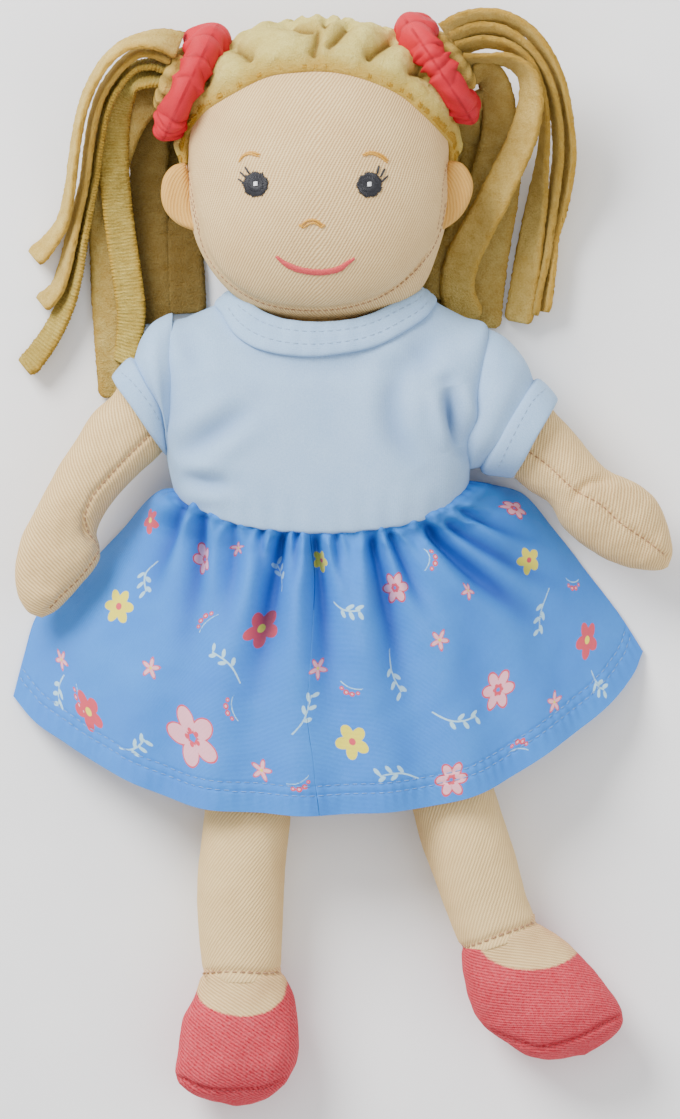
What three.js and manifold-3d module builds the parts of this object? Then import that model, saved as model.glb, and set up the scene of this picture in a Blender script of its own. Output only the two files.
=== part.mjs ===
// A soft rag doll in a dress, lying on its back, in millimetres.
// The head points along +Y, the face along +Z and the doll's own left hand along +X.
// Lengths are measured from the base of the neck, and the finished doll is set on its back at the end.
import * as THREE from 'three';
import { mergeVertices } from 'three/addons/utils/BufferGeometryUtils.js';
import Module from 'manifold-3d';

const wasm = await Module();
wasm.setup();

// Cloth, stuffing and clearance
const clearance = 0.3;
const clothThickness = 1.2;
const cutReach = 600;

// Head and face
const headWidth = 79;
const headLength = 86;
const headDepth = 56;
const headShift = -2;
const headCentreHeight = 31;
const earLength = 20;
const earReach = 16;
const earThickness = 4.8;
const earDrop = 8;
const earOutsetShare = 0.125;
const headTiltAngle = 15;

// Hair cap and the ruched band along the hairline
const pileThickness = 3;
const hairlineRise = 25.5;
const hairlineClimb = 21;
const hairlineBase = 6;
const hairlineBandWidth = 3.4;
const hairlineBandPile = 4.2;
const tuckCount = 15;
const tuckDepth = 0.9;

// Hair ties and the ponytails they gather
const tieOuterDiameter = 38;
const tieTubeDiameter = 8.6;
const tieRuffleCount = 13;
const tieRuffleDepth = 0.7;
const tieLeanShare = 0.5;
const rightTieAcross = -41.1;
const rightTieAlong = 70.8;
const rightTieBearing = 154.5;
const leftTieAcross = 34.5;
const leftTieAlong = 75.2;
const leftTieBearing = 33.2;
const ponytailLength = 86;
const bunchReach = 9.3;
const strandFanAngle = 23;
const strandTurnReach = 12.5;
const strandWidth = 9;
const strandThickness = 1.8;

// Neck, body and hips
const neckDiameter = 24;
const neckDepth = 19;
const bodyWidth = 86;
const bodyDepth = 41.4;
const bodyCentreHeight = 22;
const bodyLength = 92;
const hipSpacing = 42;
const hipTiltDrop = 3;
const hipHeight = 17;
const hipSeamThickness = 3.5;
const bodyFullness = 2.1;
const bodyTaperSlope = 1.1;
const legTaperSlope = 0.8;
const legTopAngle = 41;

// Bodice, neckband and sleeves
const shoulderRise = 2;
const waistSideDrop = 52;
const waistFrontDrop = 63;
const neckbandWidth = 7.2;
const neckbandPlies = 1.5;
const neckOpeningWidth = 49;
const neckOpeningDrop = 9.5;
const neckOpeningRise = 6;
const sleeveDiameter = 44;
const sleeveDepth = 30;
const sleeveReach = 16;
const cuffWidth = 7.2;
const cuffStep = 0.5;
const shoulderStandOff = 3.4;
const shoulderSpan = bodyWidth + 2 * shoulderStandOff;
const shoulderShift = 1.6;
const rightShoulderDrop = 19.2;
const leftShoulderDrop = 26;

// Arms
const rightArmLength = 83;
const leftArmLength = 68;
const armWidth = 24;
const armDepth = 21;
const handRound = 12;
const rightArmBearing = 54;
const rightArmBendAngle = -46;
const leftArmBearing = 57;
const leftArmBendAngle = -9;
const armTipShare = 0.02;

// Legs and feet
const legLength = 114;
const legWidth = 25.6;
const legDepth = 25;
const legCentreHeight = 15;
const legRound = 9;
const rightLegSplayAngle = 2;
const leftLegSplayAngle = 18.6;
const legTipShare = 0.04;
const footLength = 41;
const footWidth = 37;
const footDepth = 25;
const footPitch = 33;
const footOverlap = 8;
const rightToeAngle = 1;
const leftToeAngle = 12;
const shoeFullness = 2.15;
const solePitch = 14;
const soleDrop = 1;

// Skirt
const skirtHemDrop = 148.4;
const skirtRightCornerDrop = 112.8;
const skirtLeftCornerDrop = 99.3;
const skirtRightReach = 94.2;
const skirtLeftReach = 96;
const skirtHemHeight = 34;
const skirtPuff = 2.5;
const skirtFoldDepth = 2.4;
const skirtFoldCount = 9;
const skirtBackTop = 42;
const skirtFlare = 0.55;
const skirtCornerSharpness = 2.2;
const skirtRisePower = 0.9;
const skirtFallPower = 0.7;
const skirtWaistFall = 0.476;
const skirtHemFall = 1.1;
const skirtWaistFullness = 2.1;
const skirtHemFullness = 2.3;

// How many sides the rounded forms have
const headSides = 28;
const neckSides = 32;
const drumSides = 56;
const bodySides = 24;
const limbSides = 16;
const sleeveSides = 24;
const shoeSides = 22;

const ahead = new THREE.Vector3(0, 1, 0);
const upward = new THREE.Vector3(0, 0, 1);

// Smooth reading of a table of [place share, value share] pairs
function readTable(table, place) {
  const last = table.length - 1;
  if (place <= table[0][0]) return table[0][1];
  if (place >= table[last][0]) return table[last][1];
  let index = 0;
  while (place > table[index + 1][0]) index += 1;
  const [fromPlace, fromValue] = table[index];
  const [toPlace, toValue] = table[index + 1];
  const t = (place - fromPlace) / (toPlace - fromPlace);
  return fromValue + (toValue - fromValue) * t * t * (3 - 2 * t);
}

const mix = (a, b, t) => a + (b - a) * t;
const rounded = (value, power) => Math.sign(value) * Math.abs(value) ** power;
const bearing = (degrees) => {
  const angle = THREE.MathUtils.degToRad(degrees);
  return new THREE.Vector3(Math.cos(angle), Math.sin(angle), 0);
};

// A closed skin over rings of points that all have the same count, with a fan over each end
function skinRings(rings) {
  const count = rings[0].length;
  const points = rings.flat();
  const indices = [];
  for (let ring = 0; ring < rings.length - 1; ring += 1) {
    for (let side = 0; side < count; side += 1) {
      const a = ring * count + side;
      const b = ring * count + ((side + 1) % count);
      indices.push(a, b, a + count, b, b + count, a + count);
    }
  }
  for (const end of [0, rings.length - 1]) {
    const centre = new THREE.Vector3();
    rings[end].forEach((point) => centre.add(point));
    points.push(centre.divideScalar(count));
    for (let side = 0; side < count; side += 1) {
      const a = end * count + side;
      const b = end * count + ((side + 1) % count);
      if (end === 0) indices.push(points.length - 1, b, a);
      else indices.push(points.length - 1, a, b);
    }
  }
  return solidFrom(points, indices);
}

// A solid from shared corner points, turned outward when its faces were wound inward
function solidFrom(points, indices) {
  let volume = 0;
  for (let i = 0; i < indices.length; i += 3) {
    const [a, b, c] = [0, 1, 2].map((corner) => points[indices[i + corner]]);
    volume += a.dot(new THREE.Vector3().crossVectors(b, c));
  }
  const order = volume < 0 ? indices.slice().reverse() : indices;
  return new wasm.Manifold(new wasm.Mesh({
    numProp: 3,
    vertProperties: new Float32Array(points.flatMap((point) => point.toArray())),
    triVerts: new Uint32Array(order),
  }));
}

function solidFromGeometry(geometry) {
  geometry.deleteAttribute('normal');
  geometry.deleteAttribute('uv');
  const merged = mergeVertices(geometry);
  return new wasm.Manifold(new wasm.Mesh({
    numProp: 3,
    vertProperties: new Float32Array(merged.attributes.position.array),
    triVerts: new Uint32Array(merged.index.array),
  }));
}

// One ring of a swollen section: a rounded oval around a centre
function ovalRing(centre, across, over, halfAcross, halfOver, sides, power = 2) {
  const ring = [];
  for (let side = 0; side < sides; side += 1) {
    const angle = (side / sides) * Math.PI * 2;
    ring.push(centre.clone()
      .addScaledVector(across, halfAcross * rounded(Math.cos(angle), 2 / power))
      .addScaledVector(over, halfOver * rounded(Math.sin(angle), 2 / power)));
  }
  return ring;
}

// A swollen pad: an oval with its own fullness in plan and in depth, turned by a quaternion
function pad(centre, half, options = {}) {
  const { sides = 40, rings = 20, power = 2, turn = new THREE.Quaternion(), swell = () => 1 } = options;
  const levels = [];
  for (let ring = 1; ring < rings; ring += 1) {
    const lift = (ring / rings - 0.5) * Math.PI;
    const level = [];
    for (let side = 0; side < sides; side += 1) {
      const angle = (side / sides) * Math.PI * 2;
      const point = new THREE.Vector3(
        half.x * rounded(Math.cos(angle), 2 / power) * Math.cos(lift),
        half.y * rounded(Math.sin(angle), 2 / power) * Math.cos(lift),
        half.z * Math.sin(lift),
      );
      point.multiplyScalar(swell(angle, lift));
      level.push(point.applyQuaternion(turn).add(centre));
    }
    levels.push(level);
  }
  return skinRings(levels);
}

// A block whose +Z face passes through a point and faces along a direction: all that lies behind it
function behindPlane(point, direction) {
  const block = new THREE.BoxGeometry(2 * cutReach, 2 * cutReach, 2 * cutReach);
  block.translate(0, 0, -cutReach);
  const turn = new THREE.Quaternion().setFromUnitVectors(upward, direction.clone().normalize());
  block.applyQuaternion(turn);
  block.translate(point.x, point.y, point.z);
  return solidFromGeometry(block);
}

// An upright oval drum that runs through the whole doll
function uprightDrum(centre, halfAcross, halfAlong) {
  const drum = new THREE.CylinderGeometry(1, 1, cutReach, drumSides);
  drum.rotateX(Math.PI / 2);
  drum.scale(halfAcross, halfAlong, 1);
  drum.translate(centre.x, centre.y, centre.z);
  return solidFromGeometry(drum);
}

const aboveFloor = behindPlane(new THREE.Vector3(), new THREE.Vector3(0, 0, -1));

const doll = new THREE.Group();

function addPiece(name, solid, colour, roughness = 0.9) {
  const { vertProperties, triVerts, numProp } = solid.getMesh();
  const positions = [];
  for (let i = 0; i < vertProperties.length; i += numProp) {
    positions.push(vertProperties[i], vertProperties[i + 1], vertProperties[i + 2]);
  }
  const geometry = new THREE.BufferGeometry();
  geometry.setAttribute('position', new THREE.Float32BufferAttribute(positions, 3));
  geometry.setIndex(Array.from(triVerts));
  const material = new THREE.MeshStandardMaterial({ color: colour, roughness, metalness: 0 });
  const mesh = new THREE.Mesh(geometry, material);
  mesh.name = name;
  doll.add(mesh);
}

const colours = {
  skin: 0xe9c6a4,
  hair: 0xd9b876,
  hairBand: 0xc9a460,
  tie: 0xe2434b,
  bodice: 0xa9c6e8,
  skirt: 0x4a8fe0,
  shoe: 0xdc5a6c,
  sole: 0xd24f62,
};

// Head, ears and hair cap
const headCentre = new THREE.Vector3(headShift, headLength / 2, headCentreHeight);
const headHalf = new THREE.Vector3(headWidth / 2, headLength / 2, headDepth / 2);
const headFullness = 2.25;

function headPad(grow, options = {}) {
  const half = headHalf.clone().addScalar(grow);
  return pad(headCentre, half, { sides: headSides, rings: 13, power: headFullness, ...options });
}

const neckCentre = new THREE.Vector3(0, 0, bodyCentreHeight);

function neckDrum(grow) {
  const half = neckDiameter / 2 + grow;
  const drum = new THREE.CylinderGeometry(half, half, neckDepth + 2 * grow, neckSides);
  drum.rotateX(Math.PI / 2);
  drum.translate(neckCentre.x, neckCentre.y, neckCentre.z);
  return solidFromGeometry(drum);
}

const hairlinePoint = new THREE.Vector3(0, headLength / 2 + hairlineBase, headCentreHeight);
const hairlineNormal = new THREE.Vector3(0, -hairlineClimb, hairlineRise).normalize();
const behindHairline = behindPlane(hairlinePoint, hairlineNormal);
const bandFront = hairlinePoint.clone().addScaledVector(hairlineNormal, clearance + hairlineBandWidth);
const bandBack = hairlinePoint.clone().addScaledVector(hairlineNormal, clearance);

const tuckSwell = (angle, lift) => {
  const tuck = Math.abs(Math.cos((angle * tuckCount) / 2));
  return 1 - (tuckDepth / headWidth) * 2 * (1 - tuck) * Math.cos(lift);
};

function buildHead() {
  const skull = headPad(0).subtract(neckDrum(clearance));
  addPiece('head', skull, colours.skin);
  const capInner = headPad(clearance);
  const cap = headPad(clearance + pileThickness, { swell: tuckSwell, sides: 3 * tuckCount })
    .subtract(capInner)
    .intersect(behindHairline)
    .intersect(aboveFloor);
  addPiece('hair_cap', cap, colours.hair, 1);
  const band = headPad(clearance + hairlineBandPile, { swell: tuckSwell, sides: 3 * tuckCount })
    .subtract(capInner)
    .intersect(behindPlane(bandFront, hairlineNormal))
    .subtract(behindPlane(bandBack, hairlineNormal))
    .intersect(aboveFloor);
  addPiece('hairline_band', band, colours.hairBand, 1);
  for (const [side, sign] of [['right', -1], ['left', 1]]) {
    const centre = headCentre.clone();
    centre.x += sign * (headWidth / 2 + earReach * earOutsetShare);
    centre.y -= earDrop;
    const half = new THREE.Vector3(earReach / 2, earLength / 2, earThickness / 2);
    const ear = pad(centre, half, { sides: 24, rings: 10 })
      .subtract(capInner)
      .subtract(behindPlane(bandFront.clone().addScaledVector(hairlineNormal, clearance), hairlineNormal));
    addPiece(`ear_${side}`, ear, colours.skin);
  }
}

// Hair ties, the bunch of hair that each one holds, and the loose strands
const tieHole = tieOuterDiameter / 2 - tieTubeDiameter;

function buildTie(name, centre, outward) {
  const sideways = new THREE.Vector3().crossVectors(upward, outward).normalize();
  const ringRadius = (tieOuterDiameter - tieTubeDiameter) / 2;
  const loops = tieRuffleCount * 3;
  const tubeSides = 7;
  const points = [];
  const indices = [];
  for (let loop = 0; loop < loops; loop += 1) {
    const around = (loop / loops) * Math.PI * 2;
    const spoke = sideways.clone()
      .multiplyScalar(Math.cos(around))
      .addScaledVector(upward, Math.sin(around));
    const ruffle = tieRuffleDepth * Math.cos(around * tieRuffleCount);
    const lean = tieLeanShare * tieRuffleDepth * Math.sin(around * tieRuffleCount);
    const tube = tieTubeDiameter / 2 - tieRuffleDepth + ruffle / 2;
    for (let side = 0; side < tubeSides; side += 1) {
      const angle = (side / tubeSides) * Math.PI * 2;
      points.push(centre.clone()
        .addScaledVector(spoke, ringRadius + tube * Math.cos(angle))
        .addScaledVector(outward, tube * Math.sin(angle) + lean));
      const next = ((loop + 1) % loops) * tubeSides;
      const here = loop * tubeSides;
      const beside = (side + 1) % tubeSides;
      indices.push(here + side, next + side, here + beside, next + side, next + beside, here + beside);
    }
  }
  addPiece(name, solidFrom(points, indices), colours.tie, 0.75);
}

// The bunch ends in a drum round the tie's middle, so that the loose strands can swing round it
function buildBunch(name, centre, outward) {
  const half = tieHole - clearance - tieRuffleDepth;
  const inner = centre.clone().addScaledVector(outward, -tieOuterDiameter / 2);
  const outer = centre.clone().addScaledVector(outward, 2 * bunchReach);
  const sideways = new THREE.Vector3().crossVectors(upward, outward).normalize();
  const rings = [inner, outer].map((place) => ovalRing(place, sideways, upward, half, half, limbSides));
  const bunch = skinRings(rings)
    .subtract(headPad(2 * clearance + pileThickness))
    .intersect(uprightDrum(centre, bunchReach, bunchReach).add(behindPlane(centre, outward)));
  addPiece(name, bunch, colours.hair, 1);
}

// Strands of a ponytail. fan turns a strand's root round the bunch, towards the crown when positive.
// Each route row holds across, along and height, as shares of the ponytail's length from the
// middle of the tie, and how far the strip stands on its edge.
const rightStrandShares = {
  outer: {
    fan: 1,
    root: [0.05, 1],
    route: [
      [-0.135, 0.16, 0.03, 1], [-0.22, 0.17, 0.01, 1], [-0.31, 0.07, -0.03, 1], [-0.37, -0.09, -0.1, 1],
      [-0.41, -0.26, -0.22, 1], [-0.44, -0.44, -0.295, 0.9], [-0.53, -0.6, -0.31, 0.6],
    ],
  },
  upper: {
    fan: 0.33,
    root: [0.05, 1],
    route: [
      [-0.21, 0.112, 0.01, 1], [-0.28, 0.031, -0.03, 1], [-0.331, -0.122, -0.11, 1],
      [-0.366, -0.297, -0.24, 1], [-0.398, -0.488, -0.295, 0.9], [-0.436, -0.645, -0.3, 0.8],
      [-0.5, -0.767, -0.31, 0.6],
    ],
  },
  ribbed: {
    fan: -0.33,
    root: [0.05, 1],
    route: [
      [-0.195, 0.055, 0.01, 1], [-0.248, -0.02, -0.04, 1], [-0.289, -0.157, -0.13, 1],
      [-0.32, -0.331, -0.26, 1], [-0.352, -0.523, -0.295, 0.9], [-0.4, -0.715, -0.3, 0.8],
      [-0.478, -0.855, -0.305, 0.7], [-0.555, -0.984, -0.31, 0.6],
    ],
  },
  broad: {
    fan: -1,
    root: [0.05, 1],
    route: [
      [-0.188, -0.012, 0.03, 1], [-0.212, -0.087, -0.02, 0.5], [-0.219, -0.227, -0.13, 0],
      [-0.22, -0.401, -0.22, 0], [-0.219, -0.576, -0.268, 0], [-0.199, -0.75, -0.286, 0],
      [-0.227, -0.966, -0.302, 0],
    ],
  },
  hind: {
    fan: -1.5,
    root: [-0.02, 0],
    route: [
      [-0.175, -0.085, -0.095, 0], [-0.19, -0.22, -0.2, 0], [-0.22, -0.401, -0.29, 0],
      [-0.275, -0.645, -0.325, 0], [-0.262, -0.855, -0.335, 0], [-0.251, -1.064, -0.335, 0],
    ],
  },
  middle: {
    fan: -1.5,
    root: [-0.072, 0],
    route: [
      [-0.158, -0.09, -0.175, 0], [-0.15, -0.22, -0.275, 0], [-0.146, -0.401, -0.33, 0],
      [-0.136, -0.576, -0.34, 0], [-0.105, -0.802, -0.34, 0],
    ],
  },
  inner: {
    fan: -1.5,
    root: [-0.124, 0],
    route: [
      [-0.128, -0.085, -0.255, 0], [-0.078, -0.19, -0.328, 0], [-0.034, -0.331, -0.338, 0],
      [-0.021, -0.541, -0.34, 0], [0.01, -0.75, -0.34, 0],
    ],
  },
};

const leftStrandShares = {
  outer: {
    fan: 1,
    root: [0.05, 1],
    route: [
      [0.125, 0.167, 0.03, 1], [0.227, 0.185, 0.01, 1], [0.359, 0.087, -0.03, 1], [0.422, -0.08, -0.09, 1],
      [0.439, -0.272, -0.21, 1], [0.422, -0.446, -0.295, 1], [0.38, -0.586, -0.295, 1],
      [0.37, -0.743, -0.3, 0.9], [0.352, -0.823, -0.305, 0.8],
    ],
  },
  upper: {
    fan: 0.33,
    root: [0.05, 1],
    route: [
      [0.22, 0.128, 0.01, 1], [0.314, 0.035, -0.03, 1], [0.37, -0.115, -0.1, 1], [0.384, -0.29, -0.22, 1],
      [0.352, -0.464, -0.295, 1], [0.307, -0.621, -0.3, 0.8], [0.3, -0.76, -0.305, 0.7],
      [0.286, -0.865, -0.31, 0.6],
    ],
  },
  curled: {
    fan: -0.33,
    root: [0.05, 1],
    route: [
      [0.205, 0.068, 0.01, 1], [0.27, -0.02, -0.03, 1], [0.303, -0.16, -0.09, 1], [0.279, -0.307, -0.15, 1],
      [0.227, -0.446, -0.18, 0.8], [0.167, -0.579, -0.22, 0.4], [0.133, -0.691, -0.232, 0.2],
      [0.136, -0.795, -0.25, 0.2], [0.174, -0.872, -0.28, 0.2],
    ],
  },
  broad: {
    fan: -1,
    root: [0.05, 1],
    route: [
      [0.19, -0.004, 0.03, 1], [0.222, -0.105, -0.04, 0.6], [0.223, -0.23, -0.11, 0],
      [0.176, -0.363, -0.215, 0], [0.115, -0.481, -0.28, 0], [0.063, -0.603, -0.285, 0],
      [0.052, -0.75, -0.29, 0],
    ],
  },
  hind: {
    fan: -1.5,
    root: [-0.02, 0],
    route: [
      [0.18, -0.085, -0.095, 0], [0.192, -0.2, -0.18, 0], [0.178, -0.377, -0.255, 0],
      [0.155, -0.586, -0.335, 0], [0.153, -0.865, -0.335, 0],
    ],
  },
  middle: {
    fan: -1.5,
    root: [-0.072, 0],
    route: [
      [0.158, -0.09, -0.175, 0], [0.13, -0.22, -0.262, 0], [0.078, -0.394, -0.302, 0],
      [0.042, -0.586, -0.328, 0], [0.035, -0.837, -0.335, 0],
    ],
  },
  inner: {
    fan: -1.5,
    root: [-0.124, 0],
    route: [
      [0.126, -0.085, -0.255, 0], [0.066, -0.19, -0.328, 0], [-0.014, -0.377, -0.34, 0],
      [-0.075, -0.551, -0.34, 0], [-0.085, -0.767, -0.34, 0],
    ],
  },
};

function strandSurface(centre, rootBearing, strand, grow) {
  const [rootHeight, rootTurn] = strand.root;
  const rootAt = (reach) => {
    const start = bearing(rootBearing).multiplyScalar(reach / ponytailLength);
    return [start.x, start.y, rootHeight, rootTurn];
  };
  const rows = [rootAt(bunchReach + clearance), rootAt(strandTurnReach), ...strand.route];
  const route = rows.map(([across, along, height]) => (
    new THREE.Vector3(across, along, height).multiplyScalar(ponytailLength).add(centre)));
  const line = new THREE.CatmullRomCurve3(route, false, 'centripetal');
  const turns = new THREE.CatmullRomCurve3(rows.map((row) => new THREE.Vector3(row[3], 0, 0)));
  const steps = (route.length - 1) * 3;
  const rings = [];
  for (let step = 0; step <= steps; step += 1) {
    const place = line.getPoint(step / steps);
    const along = line.getTangent(step / steps);
    const flat = new THREE.Vector3().crossVectors(upward, along).normalize();
    const edge = new THREE.Vector3().crossVectors(along, flat).normalize();
    const turn = turns.getPoint(step / steps).x * (Math.PI / 2);
    const across = flat.clone().multiplyScalar(Math.cos(turn)).addScaledVector(edge, Math.sin(turn));
    const over = new THREE.Vector3().crossVectors(along, across).normalize();
    const corners = [[-1, -1], [1, -1], [1, 1], [-1, 1]];
    rings.push(corners.map(([a, b]) => place.clone()
      .addScaledVector(across, a * (strandWidth / 2 + grow))
      .addScaledVector(over, b * (strandThickness / 2 + grow))));
  }
  const lengths = rings.slice(1).map((ring, index) => wasm.Manifold.hull(
    [...rings[index], ...ring].map((point) => point.toArray()),
  ));
  return wasm.Manifold.union(lengths);
}

const largestBody = (solid) => solid.decompose().sort((a, b) => b.volume() - a.volume())[0];

function buildPonytail(side, across, along, degrees, strandShares) {
  const centre = new THREE.Vector3(across, along, headCentreHeight);
  const outward = bearing(degrees);
  const upSign = side === 'left' ? 1 : -1;
  buildTie(`hair_tie_${side}`, centre, outward);
  buildBunch(`hair_bunch_${side}`, centre, outward);
  const placed = [];
  for (const [place, strand] of Object.entries(strandShares)) {
    const rootBearing = degrees + upSign * strandFanAngle * strand.fan;
    let strip = strandSurface(centre, rootBearing, strand, 0);
    placed.forEach((neighbour) => {
      strip = strip.subtract(neighbour);
    });
    placed.push(strandSurface(centre, rootBearing, strand, clearance));
    addPiece(`hair_strand_${place}_${side}`, largestBody(strip), colours.hair, 1);
  }
  console.log(`ponytail_${side} hinge`, centre.toArray().map((value) => value.toFixed(2)).join(' '));
}

// Body with its neck, widest at the ribs and drawn flat at the hip seam
const bodyWidthShares = [[0, 0.66], [0.04, 0.9], [0.14, 1], [0.6, 1], [0.8, 0.97], [1, 0.9]];
const bodyDepthShares = [[0, 0.2], [0.06, 0.5], [0.22, 0.85], [0.5, 1], [1, 1]];

function bodySurface(grow) {
  const rings = [];
  const steps = 15;
  const lowest = bodyLength + hipTiltDrop - clearance;
  for (let step = 0; step <= steps; step += 1) {
    const drop = mix(-shoulderRise, lowest, step / steps);
    const share = (drop + shoulderRise) / (lowest + shoulderRise);
    const half = (bodyWidth / 2) * readTable(bodyWidthShares, share) + grow;
    const depth = (bodyDepth / 2) * readTable(bodyDepthShares, share) + grow;
    const reach = Math.max(0, bodyLength - hipTiltDrop - drop);
    const front = Math.min(bodyCentreHeight + depth, hipHeight + bodyTaperSlope * reach + grow);
    const seamBack = hipHeight - hipSeamThickness - bodyTaperSlope * reach - grow;
    const back = Math.max(bodyCentreHeight - depth, seamBack);
    const slip = step === 0 ? -grow : 0;
    const centre = new THREE.Vector3(0, -drop - slip, (front + back) / 2);
    const over = (front - back) / 2;
    rings.push(ovalRing(centre, new THREE.Vector3(1, 0, 0), upward, half, over, bodySides, bodyFullness));
  }
  return skinRings(rings);
}

// The waist seam leans: it sits lower on the belly than at the sides
const waistSlope = (waistFrontDrop - waistSideDrop) / (bodyDepth / 2 + clothThickness);
const waistDropAt = (height) => waistSideDrop + waistSlope * (height - bodyCentreHeight);

const shoulders = {
  right: new THREE.Vector3(shoulderShift - shoulderSpan / 2, -rightShoulderDrop, bodyCentreHeight),
  left: new THREE.Vector3(shoulderShift + shoulderSpan / 2, -leftShoulderDrop, bodyCentreHeight),
};

function sleevePad(side, grow) {
  const half = new THREE.Vector3(sleeveDiameter / 2, sleeveDiameter / 2, sleeveDepth / 2).addScalar(grow);
  return pad(shoulders[side], half, { sides: sleeveSides, rings: 8 });
}

// The head's path over the collar as it tilts
function headSweep() {
  const resting = headPad(clearance);
  return [-1, -0.5, 0.5, 1].reduce(
    (sweep, share) => sweep.add(resting.rotate(0, 0, headTiltAngle * share)),
    resting,
  );
}

const hips = {
  right: new THREE.Vector3(-hipSpacing / 2, -bodyLength - hipTiltDrop, hipHeight),
  left: new THREE.Vector3(hipSpacing / 2, -bodyLength + hipTiltDrop, hipHeight),
};

function buildBody(sweep) {
  const sleeveRoom = clearance + cuffStep;
  const bothSleeves = sleevePad('right', sleeveRoom).add(sleevePad('left', sleeveRoom));
  const leftSeam = new THREE.Vector3(0, hips.left.y + clearance, 0);
  const belowLeftSeam = behindPlane(leftSeam, ahead)
    .intersect(behindPlane(leftSeam, new THREE.Vector3(-1, 0, 0)));
  const trunk = bodySurface(0)
    .subtract(sweep)
    .add(neckDrum(0))
    .subtract(bothSleeves)
    .subtract(belowLeftSeam);
  addPiece('body', trunk, colours.skin);

  const openingCentre = new THREE.Vector3(0, neckOpeningRise, bodyCentreHeight);
  const innerAcross = neckOpeningWidth / 2;
  const innerAlong = neckOpeningRise + neckOpeningDrop - neckbandWidth / 2;
  const neckHole = uprightDrum(openingCentre, innerAcross, innerAlong);
  const bandEdge = uprightDrum(openingCentre, innerAcross + neckbandWidth, innerAlong + neckbandWidth);
  const bandClear = uprightDrum(
    openingCentre,
    innerAcross + neckbandWidth + clearance,
    innerAlong + neckbandWidth + clearance,
  );
  const skinClear = bodySurface(clearance).add(neckDrum(clearance));
  const waistNormal = new THREE.Vector3(0, -1, -waistSlope).normalize();
  const waistPoint = new THREE.Vector3(0, -waistSideDrop, bodyCentreHeight);
  const bodice = bodySurface(clearance + clothThickness)
    .subtract(skinClear)
    .subtract(bandClear)
    .subtract(sweep)
    .subtract(bothSleeves)
    .intersect(behindPlane(waistPoint, waistNormal))
    .intersect(aboveFloor);
  addPiece('dress_bodice', bodice, colours.bodice);
  const neckband = bodySurface(clearance + neckbandPlies * clothThickness)
    .subtract(skinClear)
    .subtract(neckHole)
    .intersect(bandEdge)
    .subtract(sweep)
    .subtract(bothSleeves)
    .intersect(aboveFloor);
  addPiece('dress_neckband', neckband, colours.bodice);
}

// Arms with mitten hands, their puffed sleeves and turned-up cuffs
const armWidthShares = [[0, 0.9], [0.2, 1], [0.5, 0.86], [0.66, 0.93], [0.84, 1.1], [1, 1.05]];
const armDepthShares = [[0, 0.9], [0.2, 1], [0.55, 0.88], [0.85, 0.95], [1, 0.9]];
const armBendShares = [[0.2, 0], [0.8, 1]];

function armSurface(side, grow) {
  const sign = side === 'left' ? 1 : -1;
  const length = side === 'left' ? leftArmLength : rightArmLength;
  const startBearing = side === 'left' ? leftArmBearing : rightArmBearing;
  const bend = side === 'left' ? leftArmBendAngle : rightArmBendAngle;
  const steps = 14;
  const rings = [];
  const place = shoulders[side].clone();
  let walked = 0;
  for (let step = 0; step <= steps; step += 1) {
    const share = 0.5 - 0.5 * Math.cos((step / steps) * Math.PI);
    const heading = bearing(-90 + sign * (startBearing + bend * readTable(armBendShares, share)));
    place.addScaledVector(heading, share * length - walked);
    walked = share * length;
    const fromEnd = (1 - share) * length;
    const fromStart = share * length + armWidth / 4;
    const closeEnd = Math.sqrt(Math.max(armTipShare, 1 - (1 - Math.min(1, fromEnd / handRound)) ** 2));
    const closeStart = Math.sqrt(1 - (1 - Math.min(1, fromStart / (armWidth / 2))) ** 2);
    const close = Math.min(closeEnd, closeStart);
    const half = (armWidth / 2) * readTable(armWidthShares, share) * close + grow;
    const depth = (armDepth / 2) * readTable(armDepthShares, share) * close + grow;
    const across = new THREE.Vector3().crossVectors(upward, heading);
    const slip = step === 0 ? -grow : step === steps ? grow : 0;
    const centre = place.clone().addScaledVector(heading, slip);
    rings.push(ovalRing(centre, across, upward, half, depth, limbSides));
  }
  return skinRings(rings);
}

function buildArm(side) {
  const sign = side === 'left' ? 1 : -1;
  const shoulder = shoulders[side];
  const startBearing = side === 'left' ? leftArmBearing : rightArmBearing;
  const outward = bearing(-90 + sign * startBearing);
  const armClear = armSurface(side, clearance);
  const seam = shoulder.clone().addScaledVector(outward, sleeveReach - cuffWidth - clearance);
  const cuffTop = shoulder.clone().addScaledVector(outward, sleeveReach - cuffWidth);
  const cuffEnd = shoulder.clone().addScaledVector(outward, sleeveReach);
  addPiece(`arm_${side}`, armSurface(side, 0), colours.skin);
  const sleeve = sleevePad(side, 0)
    .intersect(behindPlane(seam, outward))
    .subtract(armClear);
  addPiece(`sleeve_${side}`, sleeve, colours.bodice);
  const cuff = sleevePad(side, cuffStep - clearance)
    .intersect(behindPlane(cuffEnd, outward))
    .subtract(behindPlane(cuffTop, outward))
    .subtract(armClear);
  addPiece(`sleeve_cuff_${side}`, cuff, colours.bodice);
  console.log(`shoulder_${side} hinge`, shoulder.toArray().map((value) => value.toFixed(2)).join(' '));
}

// Legs, drawn flat at the hip seam, and shoes with a separate sole panel
const legWidthShares = [[0, 1.02], [0.3, 1.02], [0.6, 0.97], [0.85, 0.9], [1, 0.9]];
const legDepthShares = [[0, 1], [0.6, 0.98], [1, 0.88]];

function legFrame(side) {
  const sign = side === 'left' ? 1 : -1;
  const splay = side === 'left' ? leftLegSplayAngle : rightLegSplayAngle;
  const heading = bearing(-90 + sign * splay);
  const across = new THREE.Vector3().crossVectors(upward, heading);
  return { heading, across, sign };
}

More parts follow.
